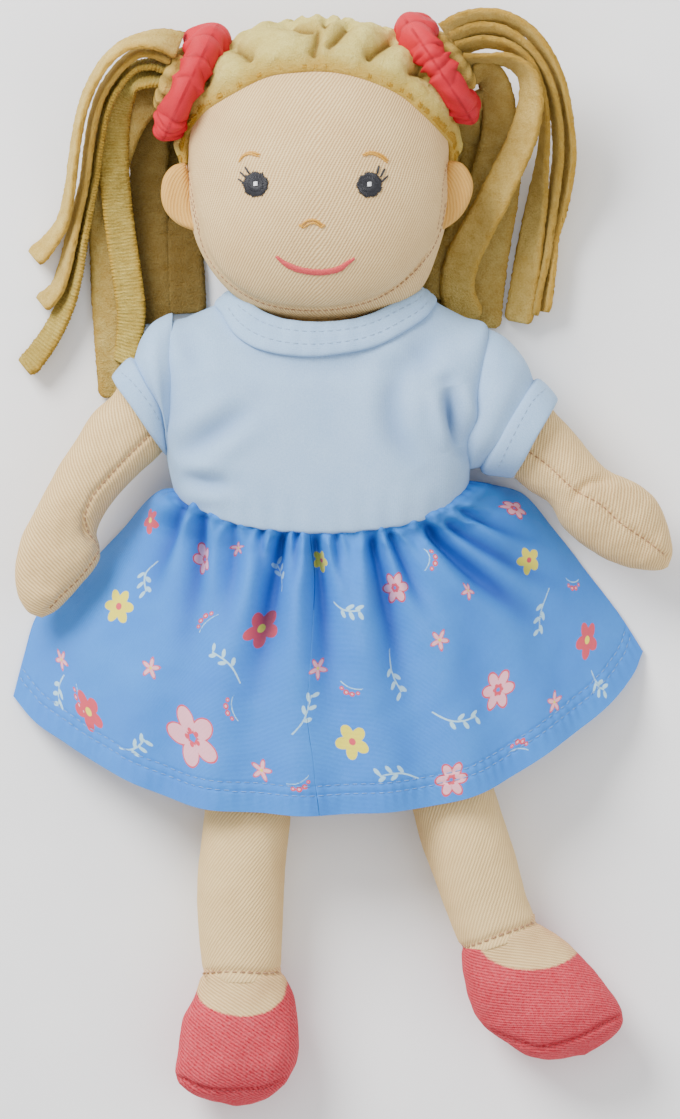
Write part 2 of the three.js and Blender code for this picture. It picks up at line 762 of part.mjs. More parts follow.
function legSurface(side, grow) {
  const { heading, across } = legFrame(side);
  const steps = 13;
  const rings = [];
  for (let step = 0; step <= steps; step += 1) {
    const share = 0.5 - 0.5 * Math.cos((step / steps) * Math.PI);
    const walked = clearance + share * legLength;
    const fromToe = Math.min(1, ((1 - share) * legLength) / legRound);
    const close = Math.sqrt(Math.max(legTipShare, 1 - (1 - fromToe) ** 2));
    const depth = (legDepth / 2) * readTable(legDepthShares, share) * close + grow;
    const front = Math.min(legCentreHeight + depth, hipHeight + legTaperSlope * walked + grow);
    const seamBack = hipHeight - hipSeamThickness - legTaperSlope * walked - grow;
    const back = Math.max(legCentreHeight - depth, seamBack);
    const half = (legWidth / 2) * readTable(legWidthShares, share) * close + grow;
    const place = hips[side].clone().addScaledVector(heading, walked + (step === steps ? grow : 0));
    place.z = (front + back) / 2;
    rings.push(ovalRing(place, across, upward, half, (front - back) / 2, limbSides));
  }
  return skinRings(rings);
}

function buildLeg(side) {
  const { heading, sign } = legFrame(side);
  const splay = side === 'left' ? leftLegSplayAngle + leftToeAngle : rightLegSplayAngle + rightToeAngle;
  const toes = bearing(-90 + sign * splay);
  const seamCut = new THREE.Vector3(hips[side].x, hips[side].y - clearance, hips[side].z);
  const topTilt = THREE.MathUtils.degToRad(legTopAngle);
  const leg = legSurface(side, 0)
    .intersect(behindPlane(seamCut, ahead))
    .intersect(behindPlane(hips[side], new THREE.Vector3(0, Math.sin(topTilt), Math.cos(topTilt))));
  addPiece(`leg_${side}`, leg, colours.skin);
  const pitch = THREE.MathUtils.degToRad(footPitch);
  const lowest = Math.hypot((footLength / 2) * Math.sin(pitch), (footDepth / 2) * Math.cos(pitch));
  const centre = hips[side].clone()
    .addScaledVector(heading, legLength - footOverlap)
    .addScaledVector(toes, footLength / 2 - footOverlap / 2);
  centre.z = lowest - clearance;
  const across = new THREE.Vector3().crossVectors(upward, toes).normalize();
  const forward = toes.clone().multiplyScalar(Math.cos(pitch)).addScaledVector(upward, Math.sin(pitch));
  const instep = new THREE.Vector3().crossVectors(forward, across).normalize();
  const basis = new THREE.Matrix4().makeBasis(across.clone().negate(), forward, instep);
  const turn = new THREE.Quaternion().setFromRotationMatrix(basis);
  const half = new THREE.Vector3(footWidth / 2, footLength / 2, footDepth / 2);
  const shoe = pad(centre, half, { sides: shoeSides, rings: 10, power: shoeFullness, turn })
    .subtract(legSurface(side, clearance))
    .intersect(aboveFloor);
  const soleTilt = THREE.MathUtils.degToRad(solePitch);
  const soleNormal = instep.clone().multiplyScalar(Math.cos(soleTilt))
    .addScaledVector(forward, -Math.sin(soleTilt));
  const soleTop = centre.clone().addScaledVector(instep, -soleDrop);
  const upperBase = soleTop.clone().addScaledVector(soleNormal, clearance);
  addPiece(`shoe_upper_${side}`, shoe.subtract(behindPlane(upperBase, soleNormal)), colours.shoe);
  addPiece(`shoe_sole_${side}`, shoe.intersect(behindPlane(soleTop, soleNormal)), colours.sole);
  console.log(`hip_${side} hinge`, hips[side].toArray().map((value) => value.toFixed(2)).join(' '));
}

// Skirt: a gathered front in two halves that part at the middle pleat, and a flat back
const skirtTopHalf = bodyWidth / 2 + clearance + clothThickness;
const skirtEdgeShares = [[0, 1], [0.16, 0]];

function skirtHeight(across, down) {
  const edgeLow = clothThickness + clearance;
  const edge = mix(edgeLow, bodyCentreHeight, readTable(skirtEdgeShares, down));
  const waistHeight = bodyCentreHeight + bodyDepth / 2 + clearance;
  const puff = skirtPuff * Math.sin(Math.PI * down);
  const middle = mix(waistHeight, skirtHemHeight, down ** skirtRisePower) + puff;
  const fall = mix(skirtWaistFall, skirtHemFall, down ** skirtFallPower);
  const fullness = mix(skirtWaistFullness, skirtHemFullness, down);
  const swell = (1 - Math.abs(across) ** fullness) ** fall;
  const fold = 0.5 + 0.5 * Math.cos(across * Math.PI * skirtFoldCount + 2 * down);
  return mix(edge, middle, swell) + skirtFoldDepth * fold * Math.sqrt(down) * swell;
}

function skirtPlan(across, down) {
  const reach = across < 0 ? skirtRightReach : skirtLeftReach;
  const cornerDrop = across < 0 ? skirtRightCornerDrop : skirtLeftCornerDrop;
  const x = across * mix(skirtTopHalf, reach, down ** skirtFlare);
  const top = waistDropAt(skirtHeight(across, 0) + clothThickness) + clearance;
  const hem = mix(skirtHemDrop, cornerDrop, Math.abs(across) ** skirtCornerSharpness);
  return { x, y: -mix(top, hem, down) };
}

function clothPanel(columns, rows, plan, height, thickness) {
  const points = [];
  const layers = [0, thickness];
  for (const layer of layers) {
    for (let row = 0; row <= rows; row += 1) {
      for (let column = 0; column <= columns; column += 1) {
        const { x, y } = plan(column / columns, row / rows);
        points.push(new THREE.Vector3(x, y, height(column / columns, row / rows) + layer));
      }
    }
  }
  const indices = [];
  const wide = columns + 1;
  const upperStart = wide * (rows + 1);
  const quad = (a, b, c, d) => indices.push(a, b, c, a, c, d);
  for (let row = 0; row < rows; row += 1) {
    for (let column = 0; column < columns; column += 1) {
      const a = row * wide + column;
      quad(a, a + 1, a + 1 + wide, a + wide);
      quad(upperStart + a, upperStart + a + wide, upperStart + a + wide + 1, upperStart + a + 1);
    }
  }
  const rim = [];
  for (let column = 0; column < columns; column += 1) rim.push(column);
  for (let row = 0; row < rows; row += 1) rim.push(row * wide + columns);
  for (let column = columns; column > 0; column -= 1) rim.push(rows * wide + column);
  for (let row = rows; row > 0; row -= 1) rim.push(row * wide);
  rim.forEach((a, place) => {
    const b = rim[(place + 1) % rim.length];
    quad(a, upperStart + a, upperStart + b, b);
  });
  return solidFrom(points, indices);
}

function buildSkirt() {
  const middleGapShare = clearance / (2 * skirtTopHalf);
  for (const [side, sign] of [['right', -1], ['left', 1]]) {
    const spread = (share) => sign * mix(middleGapShare, 1, share);
    const front = clothPanel(
      16,
      11,
      (column, row) => skirtPlan(spread(column), row),
      (column, row) => skirtHeight(spread(column), row),
      clothThickness,
    );
    addPiece(`skirt_front_${side}`, front, colours.skirt, 0.8);
  }
  const backPlan = (column, row) => {
    const place = skirtPlan(column * 2 - 1, row);
    const top = mix(place.y, -skirtBackTop, (1 - row) ** 2);
    return { x: place.x, y: top };
  };
  addPiece('skirt_back', clothPanel(24, 5, backPlan, () => 0, clothThickness), colours.skirt, 0.8);
}

buildHead();
buildPonytail('right', rightTieAcross, rightTieAlong, rightTieBearing, rightStrandShares);
buildPonytail('left', leftTieAcross, leftTieAlong, leftTieBearing, leftStrandShares);
buildBody(headSweep());
for (const side of ['right', 'left']) {
  buildArm(side);
  buildLeg(side);
}
buildSkirt();

const extent = new THREE.Box3().setFromObject(doll);
const middle = extent.getCenter(new THREE.Vector3());
doll.position.set(-middle.x, -middle.y, -extent.min.z);
console.log('moved by', doll.position.toArray().map((value) => value.toFixed(3)).join(' '));

export default doll;
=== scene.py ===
import math

import bmesh
import bpy
import numpy as np
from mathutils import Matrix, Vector
from mathutils.bvhtree import BVHTree


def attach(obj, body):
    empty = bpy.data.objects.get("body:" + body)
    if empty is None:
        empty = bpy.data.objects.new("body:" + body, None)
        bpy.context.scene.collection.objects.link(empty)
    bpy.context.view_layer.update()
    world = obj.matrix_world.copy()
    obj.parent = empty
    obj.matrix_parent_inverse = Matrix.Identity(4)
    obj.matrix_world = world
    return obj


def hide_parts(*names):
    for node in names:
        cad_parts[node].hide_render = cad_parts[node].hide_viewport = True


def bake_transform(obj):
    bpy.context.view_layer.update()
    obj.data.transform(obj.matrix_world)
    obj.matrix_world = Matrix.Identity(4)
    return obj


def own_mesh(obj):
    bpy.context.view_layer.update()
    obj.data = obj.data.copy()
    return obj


# A rag doll lying on its back. Shapes are worked in millimetres from the base of the neck
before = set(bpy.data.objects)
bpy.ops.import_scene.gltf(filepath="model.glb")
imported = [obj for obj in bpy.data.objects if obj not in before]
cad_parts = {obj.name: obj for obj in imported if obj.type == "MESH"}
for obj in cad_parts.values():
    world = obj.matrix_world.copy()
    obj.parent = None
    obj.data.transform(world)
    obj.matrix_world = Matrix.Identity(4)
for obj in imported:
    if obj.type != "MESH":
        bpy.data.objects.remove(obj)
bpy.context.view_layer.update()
rng = np.random.default_rng(11)   # unevenness of the face's threads

bench = {"across": -5.35, "along": 71.799, "unit": 0.001}   # where the base of the neck lies
tracing = {"column": 325.0, "row": 321.0, "step": 0.3}      # photograph pixels to millimetres


def onBench(points):
    points = np.asarray(points, float) + np.array([bench["across"], bench["along"], 0.0])
    return points * bench["unit"]


def traced(*pairs):
    pairs = np.array(pairs, float).reshape(-1, 2)
    across = (pairs[:, 0] - tracing["column"]) * tracing["step"]
    along = (tracing["row"] - pairs[:, 1]) * tracing["step"]
    return np.stack([across, along], 1)


def ease(low, high, value):
    t = np.clip((np.asarray(value, float) - low) / (high - low), 0.0, 1.0)
    return t * t * (3.0 - 2.0 * t)


def mix(a, b, t):
    return a + (b - a) * t


def swell(value, power):
    return np.sign(value) * np.abs(value) ** power


# A hump that fades away over a width
def bell(value, width):
    return np.exp(-(value / width) ** 2)


# Even turns round a circle, in radians
def turns(count, start=0.0):
    return np.arange(count) / count * 2 * math.pi + start


def keepAbove(points, floor):
    points[..., 2] = np.maximum(points[..., 2], floor)


def unit(vectors):
    return vectors / np.maximum(np.linalg.norm(vectors, axis=-1, keepdims=True), 1e-9)


# Length walked along a line up to each of its points
def walkedAlong(line):
    return np.r_[0, np.cumsum(np.linalg.norm(np.diff(line, axis=0), axis=1))]


# Even steps along a smooth line through the points
def throughPoints(points, count, closed=False):
    points = np.asarray(points, float)
    if closed:
        padded = np.concatenate([points[-1:], points, points[:2]])
    else:
        first = 2 * points[0] - points[1]
        last = 2 * points[-1] - points[-2]
        padded = np.concatenate([[first], points, [last]])
    dense = []
    for i in range(len(padded) - 3):
        a, b, c, d = padded[i:i + 4]
        t = np.linspace(0, 1, 24, endpoint=False)[:, None]
        dense.append(0.5 * (2 * b + (c - a) * t + (2 * a - 5 * b + 4 * c - d) * t ** 2
                            + (3 * b - a - 3 * c + d) * t ** 3))
    dense = np.concatenate(dense + [padded[-2:-1]])
    steps = walkedAlong(dense)
    wanted = np.linspace(0, steps[-1], count + 1)[:-1] if closed else np.linspace(0, steps[-1], count)
    return np.stack([np.interp(wanted, steps, dense[:, k]) for k in range(dense.shape[1])], 1)


def smoothShares(table, place):
    places = np.array([row[0] for row in table], float)
    values = np.array([row[1] for row in table], float)
    place = np.clip(place, places[0], places[-1])
    index = np.clip(np.searchsorted(places, place, side="right") - 1, 0, len(places) - 2)
    t = (place - places[index]) / (places[index + 1] - places[index])
    return values[index] + (values[index + 1] - values[index]) * t * t * (3 - 2 * t)


# Soft unevenness from a few crossing waves, from -1 to 1
def lumps(points, size, seed):
    points = np.asarray(points, float)
    picker = np.random.default_rng(seed)
    total = np.zeros(points.shape[:-1])
    for _ in range(7):
        direction = picker.normal(size=3)
        direction *= 2 * math.pi / (size * picker.uniform(0.7, 1.6) * np.linalg.norm(direction))
        total += np.sin(points @ direction + picker.uniform(0, 2 * math.pi))
    return total / 4.0


# Distance in plan from each point to a drawn line, with how far along it and on which side
def toLine(points, line, reach=None):
    flat = points[..., :2].reshape(-1, 2)
    if reach is not None:
        low, high = line[:, :2].min(0) - reach, line[:, :2].max(0) + reach
        near = ((flat > low) & (flat < high)).all(1)
        found = toLine(flat[near], line)
        whole = [np.full(len(flat), start) for start in (99.0, 0.0, 0.0)]
        for values, part in zip(whole, found):
            values[near] = part
        return [values.reshape(points.shape[:-1]) for values in whole]
    best = np.full(len(flat), 1e9)
    place = np.zeros(len(flat))
    side = np.zeros(len(flat))
    steps = walkedAlong(line[:, :2])
    for i in range(len(line) - 1):
        a = line[i, :2]
        d = line[i + 1, :2] - a
        length = max(np.hypot(*d), 1e-6)
        t = np.clip(((flat - a) @ d) / length ** 2, 0, 1)
        gap = flat - (a + t[:, None] * d)
        distance = np.hypot(gap[:, 0], gap[:, 1])
        closer = distance < best
        best = np.where(closer, distance, best)
        place = np.where(closer, (steps[i] + t * length) / steps[-1], place)
        side = np.where(closer, np.sign(d[0] * gap[:, 1] - d[1] * gap[:, 0]), side)
    shape = points.shape[:-1]
    return best.reshape(shape), place.reshape(shape), side.reshape(shape)


def crease(distance, width, depth):
    return -depth * bell(distance, width)


# A mesh object from millimetre points. weave holds cloth coordinates in millimetres for each point
def makeMesh(name, points, faces, weave, inks=None, flatFaces=0):
    mesh = bpy.data.meshes.new(name)
    mesh.from_pydata([tuple(p) for p in onBench(points)], [], [tuple(int(i) for i in f) for f in faces])
    smooth = np.ones(len(mesh.polygons), bool)
    smooth[len(smooth) - flatFaces:] = False
    mesh.polygons.foreach_set("use_smooth", smooth)
    layer = mesh.uv_layers.new(name="weave")
    corners = np.zeros(len(mesh.loops), int)
    mesh.loops.foreach_get("vertex_index", corners)
    layer.data.foreach_set("uv", (np.asarray(weave, float)[corners] * bench["unit"]).ravel())
    for key, values in (inks or {}).items():
        attribute = mesh.attributes.new(key, "FLOAT", "POINT")
        attribute.data.foreach_set("value", np.asarray(values, np.float32).ravel())
    shell = bmesh.new()
    shell.from_mesh(mesh)
    bmesh.ops.recalc_face_normals(shell, faces=shell.faces)
    shell.to_mesh(mesh)
    shell.free()
    thing = bpy.data.objects.new(name, mesh)
    bpy.context.scene.collection.objects.link(thing)
    return thing


def gridFaces(rows, columns, around=False, start=0):
    faces = []
    last = columns if around else columns - 1
    for r in range(rows - 1):
        for c in range(last):
            a = start + r * columns + c
            b = start + r * columns + (c + 1) % columns
            faces.append((a, b, b + columns, a + columns))
    return faces


# Faces of a grid that closes on itself both ways
def ringFaces(rows, columns):
    count = rows * columns
    return [tuple(i % count for i in face) for face in gridFaces(rows + 1, columns, True)]


# Arc lengths over a grid of points: across within each row, along from row to row
def clothCoordinates(rings):
    across = np.linalg.norm(np.diff(rings, axis=1), axis=2)
    across = np.concatenate([np.zeros((len(rings), 1)), np.cumsum(across, 1)], 1)
    middle = across[:, across.shape[1] // 2][:, None]
    along = np.linalg.norm(np.diff(rings, axis=0), axis=2).mean(1)
    along = np.r_[0, np.cumsum(along)][:, None] * np.ones_like(across)
    return np.stack([across - middle, along], 2)


# Cloth coordinates from one value for each column and one for each row
def spreadWeave(across, along, shape):
    return np.stack([np.broadcast_to(across, shape), np.broadcast_to(along[:, None], shape)], -1)


# A stuffed form: rings of points joined into a skin, with both ends drawn to a point
def closedTube(name, rings, weave=None, inks=None):
    rows, columns = rings.shape[:2]
    faces = gridFaces(rows, columns, True)
    points = list(rings.reshape(-1, 3))
    cloth = list((weave if weave is not None else clothCoordinates(rings)).reshape(-1, 2))
    inks = {key: list(np.asarray(values).ravel()) for key, values in (inks or {}).items()}
    for row, flip in ((0, True), (rows - 1, False)):
        tip = len(points)
        points.append(rings[row].mean(0))
        cloth.append(np.mean(cloth[row * columns:(row + 1) * columns], 0))
        for values in inks.values():
            values.append(values[row * columns])
        for c in range(columns):
            a, b = row * columns + c, row * columns + (c + 1) % columns
            faces.append((tip, b, a) if flip else (tip, a, b))
    return makeMesh(name, np.array(points), faces, np.array(cloth), inks)


# Directions away from the inside of a tube, or upward for a flat sheet
def outwardOf(grid, around):
    if around:
        across = np.roll(grid, -1, 1) - np.roll(grid, 1, 1)
        inside = grid - grid.mean(1, keepdims=True)
    else:
        across = np.gradient(grid, axis=1)
        inside = np.broadcast_to([0.0, 0.0, 1.0], grid.shape)
    away = unit(np.cross(across, np.gradient(grid, axis=0)))
    return away * np.sign((away * inside).sum() + 1e-9)


# A sheet of real thickness over a grid of points, with its rims closed
def clothSheet(name, grid, thickness, weave=None, inks=None, around=False):
    rows, columns = grid.shape[:2]
    under = grid - outwardOf(grid, around) * thickness
    cloth = clothCoordinates(grid) if weave is None else weave
    points = np.concatenate([grid.reshape(-1, 3), under.reshape(-1, 3)])
    count = rows * columns
    faces = gridFaces(rows, columns, around)
    faces += [tuple(count + i for i in reversed(face)) for face in faces]
    soft = len(faces)
    last = (rows - 1) * columns
    if around:
        rims = [list(range(columns)), [last + c for c in reversed(range(columns))]]
    else:
        rim = list(range(columns)) + [r * columns + columns - 1 for r in range(1, rows)]
        rim += [last + c for c in range(columns - 2, -1, -1)]
        rims = [rim + [r * columns for r in range(rows - 2, 0, -1)]]
    for rim in rims:
        for a, b in zip(rim, rim[1:] + rim[:1]):
            faces.append((b, a, count + a, count + b))
    cloth = np.concatenate([cloth.reshape(-1, 2)] * 2)
    inks = {key: np.r_[np.ravel(values), np.ravel(values)] for key, values in (inks or {}).items()}
    return makeMesh(name, points, faces, cloth, inks, len(faces) - soft)


# Points and faces of a round-ended thread along a path
def tubeParts(path, radii, sides=6):
    path = np.asarray(path, float)
    tangent = unit(np.gradient(path, axis=0))
    side = np.cross(tangent, [0.0, 0.0, 1.0])
    size = np.linalg.norm(side, axis=1, keepdims=True)
    side = np.where(size > 1e-6, unit(side), [1.0, 0.0, 0.0])
    lift = np.cross(side, tangent)
    angle = turns(sides)
    ring = side[:, None] * np.cos(angle)[None, :, None] + lift[:, None] * np.sin(angle)[None, :, None]
    points = (path[:, None] + ring * radii[:, None, None]).reshape(-1, 3)
    points = np.concatenate([points, [path[0], path[-1]]])
    faces = gridFaces(len(path), sides, True)
    end = len(path) * sides
    base = end - sides
    faces += [(end, (c + 1) % sides, c) for c in range(sides)]
    faces += [(end + 1, base + c, base + (c + 1) % sides) for c in range(sides)]
    return points, faces


def joinParts(name, parts):
    points, faces, start = [], [], 0
    for partPoints, partFaces in parts:
        points.append(partPoints)
        faces += [tuple(start + i for i in face) for face in partFaces]
        start += len(partPoints)
    points = np.concatenate(points)
    return makeMesh(name, points, faces, points[:, :2])


# Radii that close a short stitch at both its ends
def threadRound(steps, radius):
    t = np.linspace(-1, 1, steps)
    return radius * np.sqrt(np.clip(1 - np.abs(t) ** 4, 0.04, 1))


def treeOf(thing):
    points = [v.co.copy() for v in thing.data.vertices]
    return BVHTree.FromPolygons(points, [tuple(p.vertices) for p in thing.data.polygons])


# Height of the highest surface at a place in plan, in millimetres
def topOf(tree, across, along):
    start = onBench([[across, along, 400.0]])[0]
    hit = tree.ray_cast(Vector(start), Vector((0, 0, -1)))[0]
    return None if hit is None else hit.z / bench["unit"]


# The plan line laid on a surface
def layOn(tree, line, lift, fallback=30.0):
    placed = []
    height = fallback
    for across, along in line[:, :2]:
        found = topOf(tree, across, along)
        height = height if found is None else found
        placed.append([across, along, height + lift])
    return np.array(placed)


# A row of separate stitches along a line in space. thread is their length, gap and radius
def stitchRow(line, thread, steps=6):
    length, gap, radius = thread
    reach = walkedAlong(line)
    bow = np.sin(np.linspace(0, math.pi, steps))
    parts = []
    place = gap / 2
    while place + length < reach[-1]:
        wanted = np.linspace(place, place + length, steps)
        path = np.stack([np.interp(wanted, reach, line[:, k]) for k in range(3)], 1)
        path[:, 2] += (bow - 0.6) * radius * 0.6
        parts.append(tubeParts(path, threadRound(steps, radius)))
        place += length + gap
    return parts


def areaOf(grid):
    a, b = grid[1:, :-1] - grid[:-1, :-1], grid[:-1, 1:] - grid[:-1, :-1]
    c, d = grid[1:, :-1] - grid[1:, 1:], grid[:-1, 1:] - grid[1:, 1:]
    return sum(np.linalg.norm(np.cross(*pair), axis=2).sum() for pair in ((a, b), (c, d))) / 2


# Prints a sheet's flat size as it was cut, its widest row by its longest column, and its area
def declareSheet(thing, grid, around=False):
    closed = np.concatenate([grid, grid[:, :1]], 1) if around else grid
    width = np.linalg.norm(np.diff(closed, axis=1), axis=2).sum(1).max()
    length = np.linalg.norm(np.diff(grid, axis=0), axis=2).sum(0).max()
    area = areaOf(closed)
    print("sheet %s: %.0f x %.0f mm, %.0f cm2" % (thing.name, width, length, area / 100))


# Materials: a small helper that adds a node and joins its inputs
class Recipe:
    def __init__(self, name):
        self.material = bpy.data.materials.new(name)
        self.material.use_nodes = True
        self.tree = self.material.node_tree
        self.tree.nodes.clear()

    def add(self, kind, inputs=None, **settings):
        node = self.tree.nodes.new("ShaderNode" + kind)
        for key, value in settings.items():
            setattr(node, key, value)
        for key, value in (inputs or {}).items():
            if isinstance(value, bpy.types.NodeSocket):
                self.tree.links.new(value, node.inputs[key])
            else:
                node.inputs[key].default_value = value
        return node

    def maths(self, operation, first, second=0.5, third=0.5):
        return self.add("Math", {0: first, 1: second, 2: third}, operation=operation).outputs[0]

    def blend(self, share, first, second, way="MIX"):
        inputs = {"Factor": share, 6: first, 7: second}
        return self.add("Mix", inputs, data_type="RGBA", blend_type=way).outputs[2]

    def spread(self, value, low, high, to=(0.0, 1.0)):
        inputs = {0: value, 1: low, 2: high, 3: to[0], 4: to[1]}
        return self.add("MapRange", inputs, clamp=True).outputs[0]

    # Another colour laid over the first where a value rises from low to high, up to a share
    def tint(self, colour, over, value, low, high, most=1.0, way="MIX"):
        return self.blend(self.spread(value, low, high, (0.0, most)), colour, over, way)

    # Even bands across the cloth, turned in its own plane
    def bands(self, turn, pitch, wobble, detail):
        uv = self.add("UVMap", uv_map="weave").outputs[0]
        cloth = self.add("Mapping", {"Vector": uv, "Rotation": (0, 0, math.radians(turn))}).outputs[0]
        scale = 2 * math.pi / (20 * pitch * bench["unit"])
        inputs = {"Vector": cloth, "Scale": scale, "Distortion": wobble, "Detail": 1.0,
                  "Detail Scale": detail}
        return self.add("TexWave", inputs, wave_type="BANDS", bands_direction="X").outputs[1]

    # Unevenness of about the given size in millimetres
    def noise(self, size, detail, rough):
        inputs = {"Vector": self.add("TexCoord").outputs["Object"], "Scale": 1 / (size * bench["unit"]),
                  "Detail": detail, "Roughness": rough}
        return self.add("TexNoise", inputs).outputs[0]

    def ink(self, key):
        return self.add("Attribute", attribute_name=key).outputs["Fac"]

    # An ink whose edge wavers with a noise
    def raggedInk(self, key, noise, amount):
        return self.maths("MULTIPLY_ADD", self.maths("SUBTRACT", noise, 0.5), amount, self.ink(key))

    def finish(self, colour, height, depth, roughness, sheen=0.0, sheenTint=(1, 1, 1, 1), specular=0.3,
               sheenRough=0.5):
        bump = self.add("Bump", {"Height": height, "Strength": 1.0, "Distance": depth * bench["unit"]})
        shader = self.add("BsdfPrincipled", {
            "Base Color": colour, "Normal": bump.outputs[0], "Roughness": roughness,
            "Specular IOR Level": specular, "Sheen Weight": sheen, "Sheen Roughness": sheenRough,
            "Sheen Tint": sheenTint})
        self.add("OutputMaterial", {"Surface": shader.outputs[0]})
        return self.material


def paint(red, green, blue):
    share = [value / 255 for value in (red, green, blue)]
    return tuple(v / 12.92 if v <= 0.04045 else ((v + 0.055) / 1.055) ** 2.4 for v in share) + (1.0,)


# Cotton twill: slanting wales crossed by the threads, paler on their crests, in millimetres
twill = {"wale": 0.95, "thread": 0.5, "crossing": 62, "depth": 0.13}


def twillMaterial(name, light, dark, turn, contrast=0.8, panelTurn=None, blotch=None, patch=None):
    r = Recipe(name)
    wales = r.bands(turn, twill["wale"], 1.2, 2.0)
    if panelTurn is not None:
        other = r.bands(panelTurn, twill["wale"], 1.2, 2.0)
        wales = r.maths("MULTIPLY_ADD", r.maths("SUBTRACT", other, wales), r.ink("sidePanel"), wales)
    threads = r.bands(turn + twill["crossing"], twill["thread"], 1.5, 3.0)
    height = r.maths("MULTIPLY_ADD", threads, 0.35, wales)
    spots = r.noise(9.0, 3.0, 0.55)
    slubs = r.noise(0.7, 3.0, 0.6)
    colour = r.blend(r.spread(height, 0.1, 1.1, (1 - contrast, 1.0)), dark, light)
    if blotch:
        share, paler = blotch
        colour = r.tint(colour, paler, slubs, 0.35, 0.75, share)
    if patch:
        key, patchLight, patchDark = patch
        other = r.blend(r.spread(height, 0.1, 1.1, (0.3, 1.0)), patchDark, patchLight)
        colour = r.tint(colour, other, r.raggedInk(key, slubs, 1.2), -0.35, 0.35)
    colour = r.tint(colour, dark, spots, 0.3, 0.75, 0.22)
    height = r.maths("MULTIPLY_ADD", slubs, 0.5, height)
    return r.finish(colour, height, twill["depth"], 0.86, 0.25, light, 0.2)


# Short pile: paler where the tips catch light, warm and darker down in the pile
def pileMaterial(name, tip, root, deep, rib=None):
    r = Recipe(name)
    fluff = r.noise(0.55, 4.0, 0.65)
    tufts = r.noise(3.2, 3.0, 0.6)
    waves = r.noise(11.0, 2.0, 0.5)
    height = r.maths("MULTIPLY_ADD", tufts, 0.9, r.maths("MULTIPLY", fluff, 1.3))
    colour = r.blend(r.spread(height, 0.75, 1.4), root, tip)
    colour = r.tint(colour, root, waves, 0.35, 0.7, 0.35)
    if rib is not None:
        lines = r.bands(90, rib, 0.6, 1.0)
        colour = r.blend(r.spread(lines, 0.0, 0.5, (0.55, 0.0)), colour, root)
        height = r.maths("MULTIPLY_ADD", lines, 0.7, height)
    # Golden tint where the edge ink is laid: painted shade along the hairline and by the cap's tucks, and
    # the golden colour of the strips' edges
    colour = r.tint(colour, paint(196, 146, 40), r.ink("edge"), 0.0, 1.0, 0.75)
    # Painted shade, dark brown, where the depth ink is laid: in the cap's tucks, the bunches' folds and
    # over strands hidden under others
    colour = r.tint(colour, deep, r.ink("depth"), 0.0, 1.0, 0.92)
    return r.finish(colour, height, 0.7, 0.95, 0.35, tip, 0.1, 0.35)


# Fine knit with its thin columns of loops and a little heathering
def knitMaterial(name, light, dark, deep):
    r = Recipe(name)
    loops = r.maths("MULTIPLY", r.bands(0.0, 0.62, 0.8, 2.0), r.bands(90, 0.45, 0.8, 2.0))
    heather = r.noise(0.5, 3.0, 0.7)
    wide = r.noise(14.0, 2.0, 0.5)
    colour = r.tint(light, dark, heather, 0.3, 0.72, 0.5)
    colour = r.tint(colour, dark, wide, 0.35, 0.7, 0.25)
    # Painted shade in the wrinkles, where the depth ink is laid
    colour = r.tint(colour, deep, r.ink("depth"), 0.0, 1.0, 0.8)
    height = r.maths("MULTIPLY_ADD", heather, 0.4, loops)
    return r.finish(colour, height, 0.05, 0.8, 0.2, (0.7, 0.85, 1, 1), 0.25)


# Smooth cotton or polyester with a close plain weave
def weaveMaterial(name, light, dark, pitch, sheen, specular, deep, inks=()):
    r = Recipe(name)
    height = r.maths("ADD", r.bands(0.0, pitch, 0.6, 2.0), r.bands(90, pitch, 0.6, 2.0))
    mottle = r.noise(1.1, 4.0, 0.7)
    wide = r.noise(22.0, 2.0, 0.5)
    colour = r.tint(light, dark, mottle, 0.3, 0.75, 0.22)
    colour = r.tint(colour, dark, wide, 0.35, 0.7, 0.3)
    for key, printedColour in inks:
        colour = r.tint(colour, printedColour, r.raggedInk(key, mottle, 0.3), -0.08, 0.08)
    # Painted shade, multiplied in where the depth ink is laid: in the skirt's folds and gathers and in
    # the ties' ruffles
    colour = r.tint(colour, deep, r.ink("depth"), 0.0, 1.0, 0.85, "MULTIPLY")
    return r.finish(colour, height, 0.05, 0.6, sheen, light, specular)


# Twisted thread for seams and embroidery
def threadMaterial(name, light, dark, sheen=0.4):
    r = Recipe(name)
    twist = r.noise(0.3, 3.0, 0.6)
    colour = r.blend(r.spread(twist, 0.35, 0.65), dark, light)
    return r.finish(colour, twist, 0.08, 0.5, sheen, light, 0.5)
